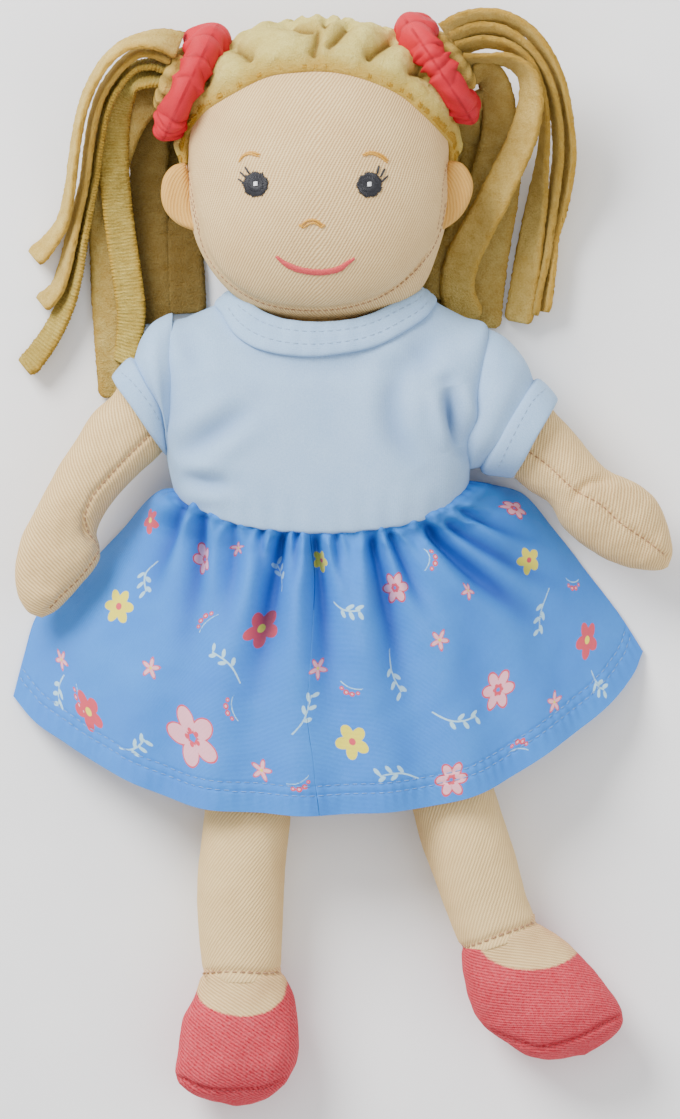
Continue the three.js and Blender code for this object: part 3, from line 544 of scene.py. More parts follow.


# The third colour of each pile finish and the last colour of the knit and tie finishes are painted shade,
# laid where the depth ink is
finishes = {
    "face": twillMaterial("faceTwill", paint(242, 212, 156), paint(186, 140, 88), 30.0, panelTurn=-28.0),
    "limb": twillMaterial("limbTwill", paint(241, 210, 152), paint(184, 140, 86), 62.0),
    "legs": twillMaterial("legTwill", paint(241, 210, 152), paint(192, 150, 94), -38.0, contrast=0.6),
    "ear": twillMaterial("earTwill", paint(222, 174, 94), paint(180, 124, 50), -20.0, contrast=0.5),
    "plush": pileMaterial("hairPlush", paint(240, 228, 142), paint(204, 180, 88), paint(96, 58, 14)),
    "strip": pileMaterial("hairStrip", paint(234, 206, 122), paint(192, 154, 72), paint(50, 26, 6)),
    "ribbed": pileMaterial("hairRibbed", paint(228, 206, 116), paint(170, 138, 56),
                           paint(50, 26, 6), 1.08),
    # The hairline roll's darker golden pile is painted shade along the hairline
    "hairline": pileMaterial("hairlineShadedPlush", paint(212, 178, 88), paint(168, 122, 36),
                             paint(96, 58, 14), 1.2),
    "tie": weaveMaterial("tieCotton", paint(206, 8, 38), paint(124, 0, 14),
                         0.35, 0.3, 0.4, paint(150, 70, 90)),
    "knit": knitMaterial("paleBlueKnit", paint(166, 198, 230), paint(126, 163, 204), paint(88, 122, 170)),
    "shoe": twillMaterial("shoeTwill", paint(222, 62, 78), paint(128, 0, 20), 58.0,
                          blotch=(0.3, paint(238, 150, 152)),
                          patch=("instep", paint(241, 210, 152), paint(192, 150, 94))),
    "seam": threadMaterial("seamThread", paint(190, 150, 110), paint(128, 88, 58)),
    "blueSeam": threadMaterial("blueSeamThread", paint(160, 184, 210), paint(112, 140, 172)),
    "skirtSeam": threadMaterial("skirtSeamThread", paint(128, 176, 226), paint(70, 120, 186)),
    "shoeSeam": threadMaterial("shoeSeamThread", paint(214, 84, 96), paint(150, 30, 46)),
    "black": threadMaterial("blackThread", paint(44, 44, 52), paint(8, 8, 12), 0.2),
    "white": threadMaterial("whiteThread", paint(252, 252, 252), paint(214, 214, 218)),
    "gold": threadMaterial("goldThread", paint(226, 170, 60), paint(168, 112, 24)),
    "coral": threadMaterial("coralThread", paint(232, 92, 92), paint(190, 50, 56)),
}


def dress(thing, finish, body=None, nodes=()):
    thing.data.materials.clear()
    thing.data.materials.append(finishes[finish])
    if nodes:
        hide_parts(*nodes)
    if body:
        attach(thing, body)
    return thing


# Stitches along a line in space, dressed as one piece
def sew(name, line, thread, finish, body=None):
    return dress(joinParts(name, stitchRow(line, thread)), finish, body)


print("bench, meshes and finishes are ready")

# Camera straight above, with the photograph's frame
view = {"distance": 5.0, "level": 0.035, "frame": 0.3357, "across": -0.00085, "along": 0.00025}
cameraData = bpy.data.cameras.new("camera")
cameraData.sensor_width = 36.0
cameraData.lens = 36.0 * view["distance"] / view["frame"]
camera = bpy.data.objects.new("camera", cameraData)
camera.location = (view["across"], view["along"], view["level"] + view["distance"])
bpy.context.scene.collection.objects.link(camera)
bpy.context.scene.camera = camera

# Head: a full cushion with a face panel, a seam round it and a gusset behind
head = {
    "rows": 190, "columns": 300, "pucker": 0.12, "puckers": 420, "unevenness": 0.35,
    "centre": (-2.0, 43.0, 31.0), "half": (39.5, 43.0, 28.0), "fullness": 2.25, "seamWidth": 1.1,
    "seamDepth": 1.1, "stitch": (1.5, 0.45, 0.19), "panelPuff": 0.8, "jowl": (-47.0, 15.0, 2.2),
    "perRadian": 40.0, "fill": 0.85,
    "seam": traced((184, 158), (190, 195), (198, 230), (207, 256), (225, 280), (250, 298), (280, 308),
                   (320, 311), (360, 305), (395, 289), (425, 260), (440, 232), (446, 200), (449, 162)),
}


def headSurface(angle, lift):
    hx, hy, hz = head["half"]
    cx, cy, cz = head["centre"]
    power = 2 / head["fullness"]
    x = cx + hx * swell(np.cos(angle), power) * np.cos(lift)
    y = cy + hy * swell(np.sin(angle), power) * np.cos(lift)
    return np.stack(np.broadcast_arrays(x, y, cz + hz * np.sin(lift)), -1)


def headNormal(points):
    half = np.array(head["half"])
    share = (points - np.array(head["centre"])) / half
    away = swell(share, head["fullness"] - 1) / half
    away[..., 2] = share[..., 2] / half[2]
    return unit(away)


def buildHead():
    lifts = np.linspace(-math.pi / 2, math.pi / 2, head["rows"])[1:-1, None]
    angles = turns(head["columns"], -math.pi / 2)[None, :]
    rings = headSurface(angles, lifts)
    away = headNormal(rings)
    distance, place, side = toLine(rings, throughPoints(head["seam"], 160))
    front = ease(31, 36, rings[..., 2])
    inside = np.where(side > 0, 1.0, 0.0)
    groove = crease(distance, head["seamWidth"], head["seamDepth"]) * front
    panel = head["panelPuff"] * inside * (1 - bell(distance, 3.0)) * front
    pucker = head["pucker"] * np.sin(place * head["puckers"]) * bell(distance, 2.2) * front
    bearing, spread, size = head["jowl"]
    turn = (np.degrees(angles) - bearing + 180) % 360 - 180
    jowl = size * bell(turn, spread) * np.cos(lifts) ** 2 * (1 - 0.7 * inside)
    push = groove + panel + pucker + jowl + head["unevenness"] * lumps(rings, 34, 4)
    rings = rings + away * push[..., None]
    reach = (math.pi / 2 - np.abs(lifts)) * head["perRadian"]
    weave = np.stack([reach * np.cos(angles), reach * np.sin(angles)], -1)
    sidePanel = np.where((inside < 0.5) | (rings[..., 2] < 31), 1.0, 0.0)
    thing = closedTube("headCushion", rings, weave, {"sidePanel": sidePanel})
    return dress(thing, "face", "head", ["head"])


headCushion = buildHead()
headTree = treeOf(headCushion)


# Ears: small stuffed half ovals let into the side seam
ears = {
    "right": {"outer": traced((184, 162), (172, 166), (163, 178), (161, 197), (166, 212), (178, 224),
                              (197, 232)),
              "inner": traced((186, 164), (188, 172), (190, 182), (193, 197), (195, 210), (198, 222),
                              (200, 233))},
    "left": {"outer": traced((449, 160), (462, 163), (471, 175), (473, 190), (467, 207), (457, 220),
                             (440, 232)),
             "inner": traced((447, 163), (445, 173), (443, 183), (442, 195), (441, 208), (439, 220),
                             (437, 234))},
    "rows": 46, "columns": 40, "height": 32.0, "depth": 5.6, "close": (4.0, 4.0), "fullness": 2.0,
    "dish": 0.9, "stitch": (1.4, 0.5, 0.2), "fill": 0.6,
}


# A value for each share of a length, from a table or the same everywhere
def alongShare(values, share):
    return smoothShares(values, share) if isinstance(values, list) else np.full(len(share), float(values))


# A stuffed limb or lobe between two drawn edges
def betweenEdges(table, side):
    rows, power = table["rows"], 2 / table["fullness"]
    outer = throughPoints(table[side]["outer"], rows)
    inner = throughPoints(table[side]["inner"], rows)
    centre = (outer + inner) / 2
    across = (outer - inner) / 2
    walked = walkedAlong(centre)
    share = walked / walked[-1]
    ends = np.ones(rows)
    for distance, reach in zip((walked, walked[-1] - walked), table["close"]):
        if reach:
            t = np.clip(distance / reach, 0, 1)
            ends *= np.sqrt(np.clip(1 - (1 - t) ** 2, 0.0, 1))
    angle = turns(table["columns"], -math.pi / 2)
    rings = np.zeros((rows, table["columns"], 3))
    rings[..., :2] = centre[:, None] + across[:, None] * swell(np.cos(angle), power)[None, :, None]
    half = (alongShare(table["depth"], share) / 2 * ends)[:, None] * swell(np.sin(angle), power)[None, :]
    rings[..., 2] = alongShare(table["height"], share)[:, None] + half
    return rings, share, angle


def buildEar(side):
    rings, share, angle = betweenEdges(ears, side)
    dish = bell(np.cos(angle)[None, :] - 0.1, 0.45) * np.sin(np.pi * share)[:, None]
    rings[..., 2] -= ears["dish"] * dish * (np.sin(angle)[None, :] > 0)
    dress(closedTube("earPad_" + side, rings), "ear", "head", ["ear_" + side])
    line = layOn(headTree, throughPoints(ears[side]["inner"], 60), 0.05, 34.0)
    keepAbove(line, ears["height"])
    sew("earSeam_" + side, line, ears["stitch"], "seam", "head")


for side in ("right", "left"):
    buildEar(side)

# Embroidery: every stitch is a short thread laid on the face
face = {
    "eyes": {"right": (256, 186), "left": (369.5, 186.5)}, "eyeThread": 0.3, "lashThread": 0.19,
    "glintThread": 0.2,
    "lashes": {"right": [((247, 180), (240, 173)), ((250, 176), (245, 168)), ((245, 185), (238, 180))],
               "left": [((377, 176), (379, 167)), ((380, 179), (385, 170)), ((381, 184), (388, 177))]},
    "brows": [traced((239, 164), (243, 158), (250, 155.5), (260, 158.5)),
              traced((240, 162), (245, 156), (252, 154), (261, 156.5)),
              traced((363, 158), (371, 155.5), (380, 158.5), (388, 165)),
              traced((362, 156.5), (371, 154), (381, 156.5), (389, 163))],
    "nose": [traced((301, 228), (306, 223), (312, 221.5), (318, 223), (324, 228)),
             traced((303, 230), (308, 226), (313, 224.5), (318, 226), (322, 230)),
             traced((299, 226), (303, 229)), traced((325, 226), (321, 229))],
    "mouth": traced((277, 258), (286, 265), (300, 271), (320, 273.5), (338, 270.5), (348, 264),
                    (354, 260)),
    "browThread": 0.36, "mouthThread": 0.2, "mouthWidth": 1.9,
}


def laidThread(start, end, lift, radius, bow=0.35, steps=7):
    placed = layOn(headTree, np.linspace(start, end, steps), lift)
    placed[:, 2] += bow * radius * np.sin(np.linspace(0, math.pi, steps))
    return tubeParts(placed, threadRound(steps, radius))


def buildFace():
    black, white, gold, coral = [], [], [], []
    for side, place in face["eyes"].items():
        centre = traced(place)[0]
        for layer, (inner, outer, count) in enumerate(((1.2, 3.95, 46), (0.6, 2.7, 28))):
            for turn in range(count):
                angle = 2 * math.pi * (turn + 0.5 * layer) / count
                lobes = 1 + 0.05 * math.cos(9 * angle) + rng.uniform(-0.05, 0.05)
                ray = np.array([math.cos(angle), math.sin(angle)])
                skew = np.array([math.cos(angle + 0.35), math.sin(angle + 0.35)])
                black.append(laidThread(centre + ray * inner, centre + skew * outer * lobes,
                                        0.12 + 0.22 * layer, face["eyeThread"]))
        for turn in range(4):
            offset = np.array([0.0, 0.32 * (turn - 1.5)])
            white.append(laidThread(centre + offset + (-0.75, 0.1), centre + offset + (0.65, 0.25), 0.62,
                                    face["glintThread"]))
        for start, end in face["lashes"][side]:
            ends = traced(start, end)
            for shift in ((-0.13, 0), (0.13, 0)):
                black.append(laidThread(ends[0] + shift, ends[1] + shift, 0.2, face["lashThread"]))
    for line in face["brows"] + face["nose"]:
        path = layOn(headTree, throughPoints(line, 26), 0.18)
        gold.append(tubeParts(path, threadRound(26, face["browThread"]), 8))
    path = throughPoints(face["mouth"], 96)
    tangent = unit(np.gradient(path, axis=0))
    across = np.stack([-tangent[:, 1], tangent[:, 0]], 1)
    for i in range(len(path)):
        share = i / (len(path) - 1)
        narrow = 0.45 + 0.55 * min(1, 5 * min(share, 1 - share))
        half = face["mouthWidth"] / 2 * narrow * rng.uniform(0.92, 1.08)
        slant = across[i] * half + tangent[i] * half * 0.45
        coral.append(laidThread(path[i] - slant, path[i] + slant, 0.16, face["mouthThread"], 0.8))
    for name, parts, finish in (("eyeThreads", black, "black"), ("eyeGlints", white, "white"),
                                ("browAndNoseThreads", gold, "gold"), ("mouthThreads", coral, "coral")):
        dress(joinParts(name, parts), finish, "head")


buildFace()
seamLine = layOn(headTree, throughPoints(head["seam"][1:-1], 260), 0.1)
sew("faceSeam", seamLine, head["stitch"], "seam", "head")
print("head, ears and face are made")

# Hair cap: plush over the back and crown, drawn up in puffs between sewn tucks
cap = {
    "pitWidth": 1.5, "pitDepth": 0.45, "pile": 1.9, "puff": 4.2, "puffReach": 3.1,
    "pole": (0.0, 0.785, -0.62), "columns": 460, "rows": 120, "perRadian": 38.0, "tuckWidth": 0.9,
    "sideGathers": 26,
    "hairline": traced((180, 166), (182, 155), (187, 140), (196, 126), (208, 113), (222, 104), (240, 94),
                       (255, 86), (272, 79), (292, 76), (315, 74.5), (336, 76), (358, 81), (380, 89),
                       (400, 99), (416, 112), (430, 125), (444, 140), (455, 153), (465, 164)),
    "tucks": [traced((221, 50), (232, 54), (244, 60), (254, 66)),
              traced((270, 31), (284, 36), (300, 41), (313, 43)), traced((318, 44), (317, 52), (314, 62)),
              traced((328, 12), (327, 26), (325, 39)), traced((351, 33), (343, 42), (336, 50), (329, 58)),
              traced((404, 47), (391, 50), (378, 57), (367, 66)), traced((404, 81), (412, 80), (420, 82)),
              traced((436, 82), (449, 90), (451, 105), (446, 122)),
              traced((198, 80), (206, 83), (213, 89)), traced((177, 117), (187, 124), (196, 127)),
              traced((165, 148), (174, 143), (183, 141)), traced((262, 20), (266, 26), (271, 31)),
              traced((430, 62), (431, 72), (424, 80)), traced((468, 120), (458, 128), (450, 128))],
    "pits": traced((254, 66), (213, 89), (366, 66), (419, 82), (315, 62), (446, 121)),
}


# Each point of a loop drawn a little towards its neighbours
def smoothLoop(loop):
    return (np.roll(loop, 1, 0) + 2 * loop + np.roll(loop, -1, 0)) / 4


def headDirection(points):
    away = (points - np.array(head["centre"][:2])) / np.array(head["half"][:2])
    power = head["fullness"]
    reach = (np.abs(away) ** power).sum(-1) ** (1 / power)
    plan = swell(away / reach[..., None], power / 2)
    reach = np.minimum(reach, 0.9995)
    return np.concatenate([plan * reach[..., None], np.sqrt(1 - reach ** 2)[..., None]], -1)


def onHead(direction, grow):
    lift = np.arcsin(np.clip(direction[..., 2], -1, 1))
    angle = np.arctan2(direction[..., 1], direction[..., 0])
    base = headSurface(angle, lift)
    return base + headNormal(base) * np.asarray(grow)[..., None]


def capLoop():
    count = int(cap["columns"] * 0.62)
    front = headDirection(throughPoints(cap["hairline"], count))
    share = np.linspace(0, 1, cap["columns"] - count + 2)[1:-1]
    low = -0.84 * np.sin(math.pi * share)
    along = 0.1395 + 0.79 * low
    across = np.sqrt(np.clip(1 - along ** 2 - low ** 2, 0.0, 1)) * np.sign(0.5 - share)
    loop = np.concatenate([front, unit(np.stack([across, along, low], 1))])
    for _ in range(6):
        loop = unit(smoothLoop(loop))
    return loop


def towardsPole(loop, share):
    pole = unit(np.array(cap["pole"]))
    gap = np.arccos(np.clip(loop @ pole, -1, 1))[:, None]
    share = np.asarray(share)[:, None]
    placed = (np.sin((1 - share) * gap) * loop + np.sin(share * gap) * pole) / np.sin(gap)
    return unit(placed), gap[:, 0]


def buildCap():
    loop = capLoop()
    width = len(loop)
    shares = np.r_[0, np.linspace(0.012, 0.985, cap["rows"])]
    direction = np.array([towardsPole(loop, np.full(width, share))[0] for share in shares])
    gap = towardsPole(loop, np.zeros(width))[1]
    base = onHead(direction, np.zeros(direction.shape[:2]))
    fromEdge = shares[:, None] * gap[None, :] * cap["perRadian"]
    upper = ease(30, 36, base[..., 2])
    puff = np.ones(base.shape[:2])
    nearest = np.full(base.shape[:2], 99.0)
    for tuck in cap["tucks"]:
        distance, place, _ = toLine(base, throughPoints(tuck, 14))
        fade = 0.7 + 0.3 * np.sin(math.pi * np.clip(place, 0.02, 0.98))
        dip = 0.6 * bell(distance, cap["puffReach"]) + 0.4 * bell(distance, cap["tuckWidth"])
        puff = np.minimum(puff, 1 - fade * dip * upper)
        nearest = np.minimum(nearest, distance + (1 - upper) * 50)
    column = turns(width)
    gathers = 0.5 + 0.5 * np.cos(column * cap["sideGathers"] + 1.2 * lumps(base, 18, 7))
    puff = np.minimum(puff, 1 - 0.55 * (1 - upper) * (1 - gathers) * ease(0, 8, fromEdge))
    for across, along in cap["pits"]:
        distance = np.hypot(base[..., 0] - across, base[..., 1] - along)
        puff -= cap["pitDepth"] * bell(distance, cap["pitWidth"]) * upper
        nearest = np.minimum(nearest, distance * 0.8)
    crown = ease(55, 84, base[..., 1])
    grow = cap["pile"] + cap["puff"] * np.clip(puff, 0, 1) * (0.62 + 0.38 * crown)
    grow = grow * ease(-1.5, 5.5, fromEdge) ** 0.6
    grow += 0.45 * lumps(base, 9, 12) * ease(0, 6, fromEdge) + 0.12 * lumps(base, 2.2, 13)
    grid = onHead(direction, np.maximum(grow, 0.35))
    inner = onHead(direction, np.full(direction.shape[:2], 0.2))
    keepAbove(grid, 0.3)
    keepAbove(inner, 1.2)
    count = grid.shape[0] * width
    points = np.concatenate([grid.reshape(-1, 3), inner.reshape(-1, 3)])
    faces = gridFaces(len(shares), width, True) + gridFaces(len(shares), width, True, count)
    last = count - width
    for c in range(width):
        d = (c + 1) % width
        faces += [(c, d, count + d, count + c), (last + d, last + c, count + last + c, count + last + d)]
    # Painted shade in the tucks and pits, and a golden painted shade along the hairline and by the tucks
    depth = 0.62 * bell(nearest, 0.65) + 0.22 * bell(nearest, 2.6)
    edge = np.clip(0.9 * bell(fromEdge, 3.4) + 0.55 * bell(nearest, 2.2), 0, 1)
    weave = np.stack([np.broadcast_to(column * 40, grid.shape[:2]), fromEdge], -1)
    inks = {"depth": np.r_[depth.ravel(), depth.ravel()], "edge": np.r_[edge.ravel(), edge.ravel()]}
    thing = makeMesh("hairCapPlush", points, faces, np.concatenate([weave.reshape(-1, 2)] * 2), inks)
    dress(thing, "plush", "head", ["hair_cap"])
    declareSheet(thing, grid, True)


# The gathered roll of plush along the hairline
hairline = {"width": 3.4, "height": 2.5, "ribs": 210, "ribHeight": 0.26, "waveHeight": 0.4, "fill": 0.5}


def buildHairline():
    loop = capLoop()
    angle = turns(20)
    column = turns(len(loop))
    ribs = hairline["ribHeight"] * np.cos(column * hairline["ribs"])
    ribs += hairline["waveHeight"] * np.sin(column * 41) * np.sin(column * 13)
    gap = towardsPole(loop, np.zeros(len(loop)))[1]
    rings = []
    for a in angle:
        share = (hairline["width"] / 2) * (1 - math.cos(a)) / cap["perRadian"]
        direction = towardsPole(loop, share / gap)[0]
        rings.append(onHead(direction, 0.1 + (hairline["height"] + ribs) * max(math.sin(a), -0.08)))
    grid = np.array(rings)
    shape = grid.shape[:2]
    weave = spreadWeave(column * 40, angle * 2, shape)
    # Golden painted shade over the roll, strongest where it meets the face
    edge = np.broadcast_to(0.35 + 0.45 * np.cos(angle / 2)[:, None] ** 2, shape)
    thing = makeMesh("hairlineRoll", grid.reshape(-1, 3), ringFaces(*shape), weave.reshape(-1, 2),
                     {"depth": np.zeros(shape), "edge": edge})
    dress(thing, "hairline", "head", ["hairline_band"])


buildCap()
buildHairline()
print("hair cap is made")

# Hair ties: ruffled rings of red cotton
ties = {
    "right": {"centre": (-41.1, 70.8, 31.0), "bearing": 154.5, "flare": 1.5},
    "left": {"centre": (34.5, 75.2, 31.0), "bearing": 33.2, "flare": 1.4},
    "ring": 14.2, "tube": 4.2, "ruffles": 13, "loops": 380, "sides": 40, "fill": 0.4,
    "bunch": {"from": -8.0, "to": 8.6, "radius": 9.3, "folds": 11, "foldHeight": 0.5, "fill": 0.7},
}


# The ways out along the hair, up, and across both
def tieFrame(side):
    turn = math.radians(ties[side]["bearing"])
    outward = np.array([math.cos(turn), math.sin(turn), 0.0])
    upward = np.array([0.0, 0.0, 1.0])
    return outward, upward, np.cross(upward, outward)


def buildTie(side):
    facts = ties[side]
    outward, upward, sideways = tieFrame(side)
    crownward = 1.0 if sideways[1] > 0 else -1.0
    around, angle = turns(ties["loops"]), turns(ties["sides"])
    spoke = sideways * np.cos(around)[:, None] + upward * np.sin(around)[:, None]
    flare = 1 + (facts["flare"] - 1) * np.clip(crownward * np.cos(around), 0, 1) ** 3
    start = 5 if side == "right" else 9
    wander = 0.8 * np.sin(around * 3 + start) + 0.5 * np.sin(around * 5 + 2 * start)
    ruffle = 1 - 2 * np.abs(np.sin(around * ties["ruffles"] / 2 + wander * 1.3)) ** 0.7
    a, b = np.meshgrid(angle, around)
    drift = wander[:, None]
    lean = 0.9 * np.sin(a + start)
    pleat = 1 - 2 * np.abs(np.sin((b * ties["ruffles"] + lean * 1.6) / 2 + drift * 1.3)) ** 0.6
    second = 1 - 2 * np.abs(np.sin(b * 9.5 - 1.3 * np.cos(a) + 2 * drift)) ** 0.7
    fold = -0.75 * pleat * (0.55 + 0.45 * np.cos(2 * a + 2 * drift))
    fold -= 0.4 * second * np.sin(a + drift) ** 2
    tube = ties["tube"] * flare[:, None] * (1 + 0.08 * np.cos(3 * a + drift)) + fold
    outwards = ties["ring"] + tube * np.cos(a) * 0.92
    along = tube * np.sin(a) * 1.08 + 0.7 * ruffle[:, None] * np.sin(a)
    grid = np.array(facts["centre"]) + spoke[:, None] * outwards[..., None] + outward * along[..., None]
    keepAbove(grid, 0.4)
    weave = np.stack([a * ties["tube"], b * ties["ring"]], -1)
    # Painted shade in the hollows of the ruffles, laid as the depth ink
    thing = makeMesh("hairTieRuffle_" + side, grid.reshape(-1, 3), ringFaces(*grid.shape[:2]),
                     weave.reshape(-1, 2), {"depth": np.clip(-fold * 0.9, 0, 1)})
    dress(thing, "tie", "head", ["hair_tie_" + side])


# Bunches: plush gathered in lengthwise folds through each tie
def buildBunch(side):
    bunch = ties["bunch"]
    outward, upward, sideways = tieFrame(side)
    angle = turns(120)
    rings = []
    for place in np.linspace(bunch["from"], bunch["to"], 60):
        waist = bunch["radius"] + 1.0 * (place / 8.0) ** 2 * (place > 0)
        close = math.sqrt(max(0.02, 1 - max(0.0, (place - 5.4) / 3.4) ** 2))
        folds = bunch["foldHeight"] * np.cos(angle * bunch["folds"] + 0.5 * math.sin(place * 0.4))
        folds += 0.25 * np.cos(angle * 19 + place * 0.1)
        radius = ((waist + folds) * close)[:, None]
        circle = sideways * np.cos(angle)[:, None] + upward * np.sin(angle)[:, None]
        rings.append(np.array(ties[side]["centre"]) + outward * place + circle * radius)
    rings = np.array(rings)
    # Painted shade in the hollows between the folds
    shade = np.broadcast_to(0.25 - 0.25 * np.cos(angle * bunch["folds"]), rings.shape[:2])
    edge = np.full(rings.shape[:2], 0.35)
    thing = closedTube("hairGather_" + side, rings, None, {"depth": shade, "edge": edge})
    dress(thing, "strip", "head", ["hair_bunch_" + side])


for side in ("right", "left"):
    buildTie(side)
    buildBunch(side)
print("hair ties are made")

# Plush strips of the ponytails: column, row, height in mm and how far the strip stands on its edge
# Each strip: its width in mm, the share of painted shade laid over it, its finish, then its route
strips = {
    "thickness": 1.9, "rib": 1.08, "ribDepth": 0.17, "fuzz": 0.13, "leastSheet": 10.0,
    "right": {"outer": (9.4, 0.0, "strip",
                        [(180, 46, 38, .3), (162, 40, 38, .5), (142, 40, 37.5, .7), (122, 47, 36, .8),
                         (103, 65, 33, .82), (88, 92, 28, .84), (79, 122, 23.5, .85), (73, 158, 18, .85),
                         (68, 192, 12.5, .83), (61, 220, 7.4, .76), (47, 241, 5.2, .66),
                         (32, 256, 4.6, .5)]),
              "upper": (9.2, 0.1, "strip",
                        [(174, 56, 35, .6), (154, 51, 34, .75), (137, 53, 33, .82), (120, 66, 31, .84),
                         (104, 88, 27, .85), (94, 114, 23, .86), (88, 146, 18, .86), (83, 180, 12, .86),
                         (76, 210, 8, .84), (69, 240, 6, .8), (63, 266, 5.4, .76), (55, 288, 5, .7),
                         (40, 303, 4.6, .55)]),
              "ribbed": (9.2, 0.15, "ribbed",
                         [(170, 68, 33, .7), (151, 64, 32, .8), (133, 69, 30, .84), (116, 88, 26.5, .86),
                          (105, 112, 22, .87), (98, 143, 17, .86), (93, 175, 11.8, .86),
                          (87, 207, 8, .84), (80, 240, 6.4, .78), (74, 272, 6, .7), (65, 302, 5.6, .62),
                          (50, 332, 5.2, .56), (32, 357, 4.8, .5), (22, 366, 4.6, .45)]),
              "broad": (8.8, 0.0, "ribbed",
                        [(168, 80, 33, .7), (150, 78, 32, .55), (132, 80, 29.5, .3), (120, 95, 24.5, .08),
                         (114, 124, 19.5, 0), (113, 162, 14.6, 0), (116, 202, 10.4, 0),
                         (121, 242, 8.4, .02), (127, 282, 7.8, .1), (130, 312, 7.2, .2),
                         (127, 342, 6.2, .35), (122, 362, 5.2, .4)]),
              "hind": (10.4, 0.3, "strip",
                       [(164, 92, 26, .2), (142, 102, 22, 0), (124, 127, 17.5, 0), (110, 167, 11, 0),
                        (105, 207, 6.4, 0), (106, 252, 4, 0), (108, 302, 3, 0), (111, 347, 2.6, 0),
                        (115, 396, 2.4, 0)]),
              "middle": (11.2, 0.82, "strip",
                         [(166, 102, 22, 0), (152, 127, 15, 0), (148, 167, 8, 0), (148, 215, 3.2, 0),
                          (151, 270, 2.2, 0), (154, 322, 2.2, 0)]),
              "inner": (11.2, 0.86, "strip",
                        [(170, 110, 17, 0), (174, 140, 9, 0), (177, 180, 3.8, 0), (181, 230, 2.2, 0),
                         (185, 275, 2.2, 0), (187, 312, 2.2, 0)])},
    "left": {"outer": (9.4, 0.0, "strip",
                       [(446, 36, 38, .3), (468, 21, 38, .6), (497, 17, 37, .75), (524, 28, 34.5, .8),
                        (545, 50, 31, .82), (560, 80, 26, .84), (568, 115, 21, .84), (571, 150, 15.6, .8),
                        (567, 180, 11, .75), (560, 207, 7.6, .7), (552, 235, 6, .7), (549, 270, 5.4, .7),
                        (543, 310, 5, .62)]),
             "between": (9.2, 0.1, "strip",
                         [(452, 42, 36, .6), (478, 30, 35.5, .75), (505, 33, 34, .8),
                          (529, 50, 31.4, .83), (547, 77, 27.4, .84), (556, 110, 22.6, .84),
                          (559, 147, 17, .84), (556, 182, 12, .84), (551, 217, 8.4, .82),
                          (545, 257, 6.4, .8), (538, 287, 5.5, .78), (533, 313, 5, .72)]),
             "upper": (9.4, 0.1, "strip",
                       [(456, 50, 34, .7), (482, 42, 33.5, .8), (508, 46, 32, .83), (529, 63, 29, .84),
                        (541, 92, 24.6, .85), (545, 127, 19.6, .85), (543, 162, 14.6, .78),
                        (538, 202, 9.8, .58), (532, 242, 6.6, .44), (526, 282, 5.2, .34),
                        (519, 321, 4.6, .3)]),
             "curled": (10.6, 0.12, "strip",
                        [(464, 62, 34, .7), (487, 60, 34, .8), (509, 60, 33.4, .8), (527, 74, 32, .68),
                         (531, 98, 30, .56), (526, 125, 28, .46), (516, 152, 25.6, .4),
                         (503, 180, 22.6, .36), (491, 205, 19.4, .3), (476, 232, 15.4, .25),
                         (462, 262, 11, .2), (458, 290, 8, .16), (469, 319, 6, .1)]),
             "broad": (10.2, 0.5, "strip",
                       [(470, 74, 31, .7), (489, 74, 28.6, .5), (498, 98, 23.6, .2),
                        (499, 132, 18.4, .05), (491, 167, 14, 0), (477, 202, 10.6, 0), (461, 237, 8.2, 0),
                        (446, 267, 6.6, 0), (438, 297, 5.6, 0)]),
             "hind": (10.6, 0.28, "strip",
                      [(478, 90, 24, .1), (497, 120, 15.6, 0), (504, 160, 9.6, 0), (501, 200, 5.6, 0),
                       (494, 240, 3.4, 0), (488, 282, 2.6, 0), (484, 326, 2.4, 0)]),
             "middle": (10.6, 0.45, "strip",
                        [(470, 100, 22, 0), (480, 140, 12.6, 0), (474, 180, 6.6, 0), (462, 222, 3.2, 0),
                         (452, 264, 2.3, 0), (450, 322, 2.2, 0)]),
             "inner": (10.6, 0.6, "strip",
                       [(462, 118, 20, 0), (464, 155, 9, 0), (458, 195, 3.6, 0), (445, 235, 2.2, 0),
                        (428, 275, 2.1, 0), (424, 314, 2.1, 0)])},
}


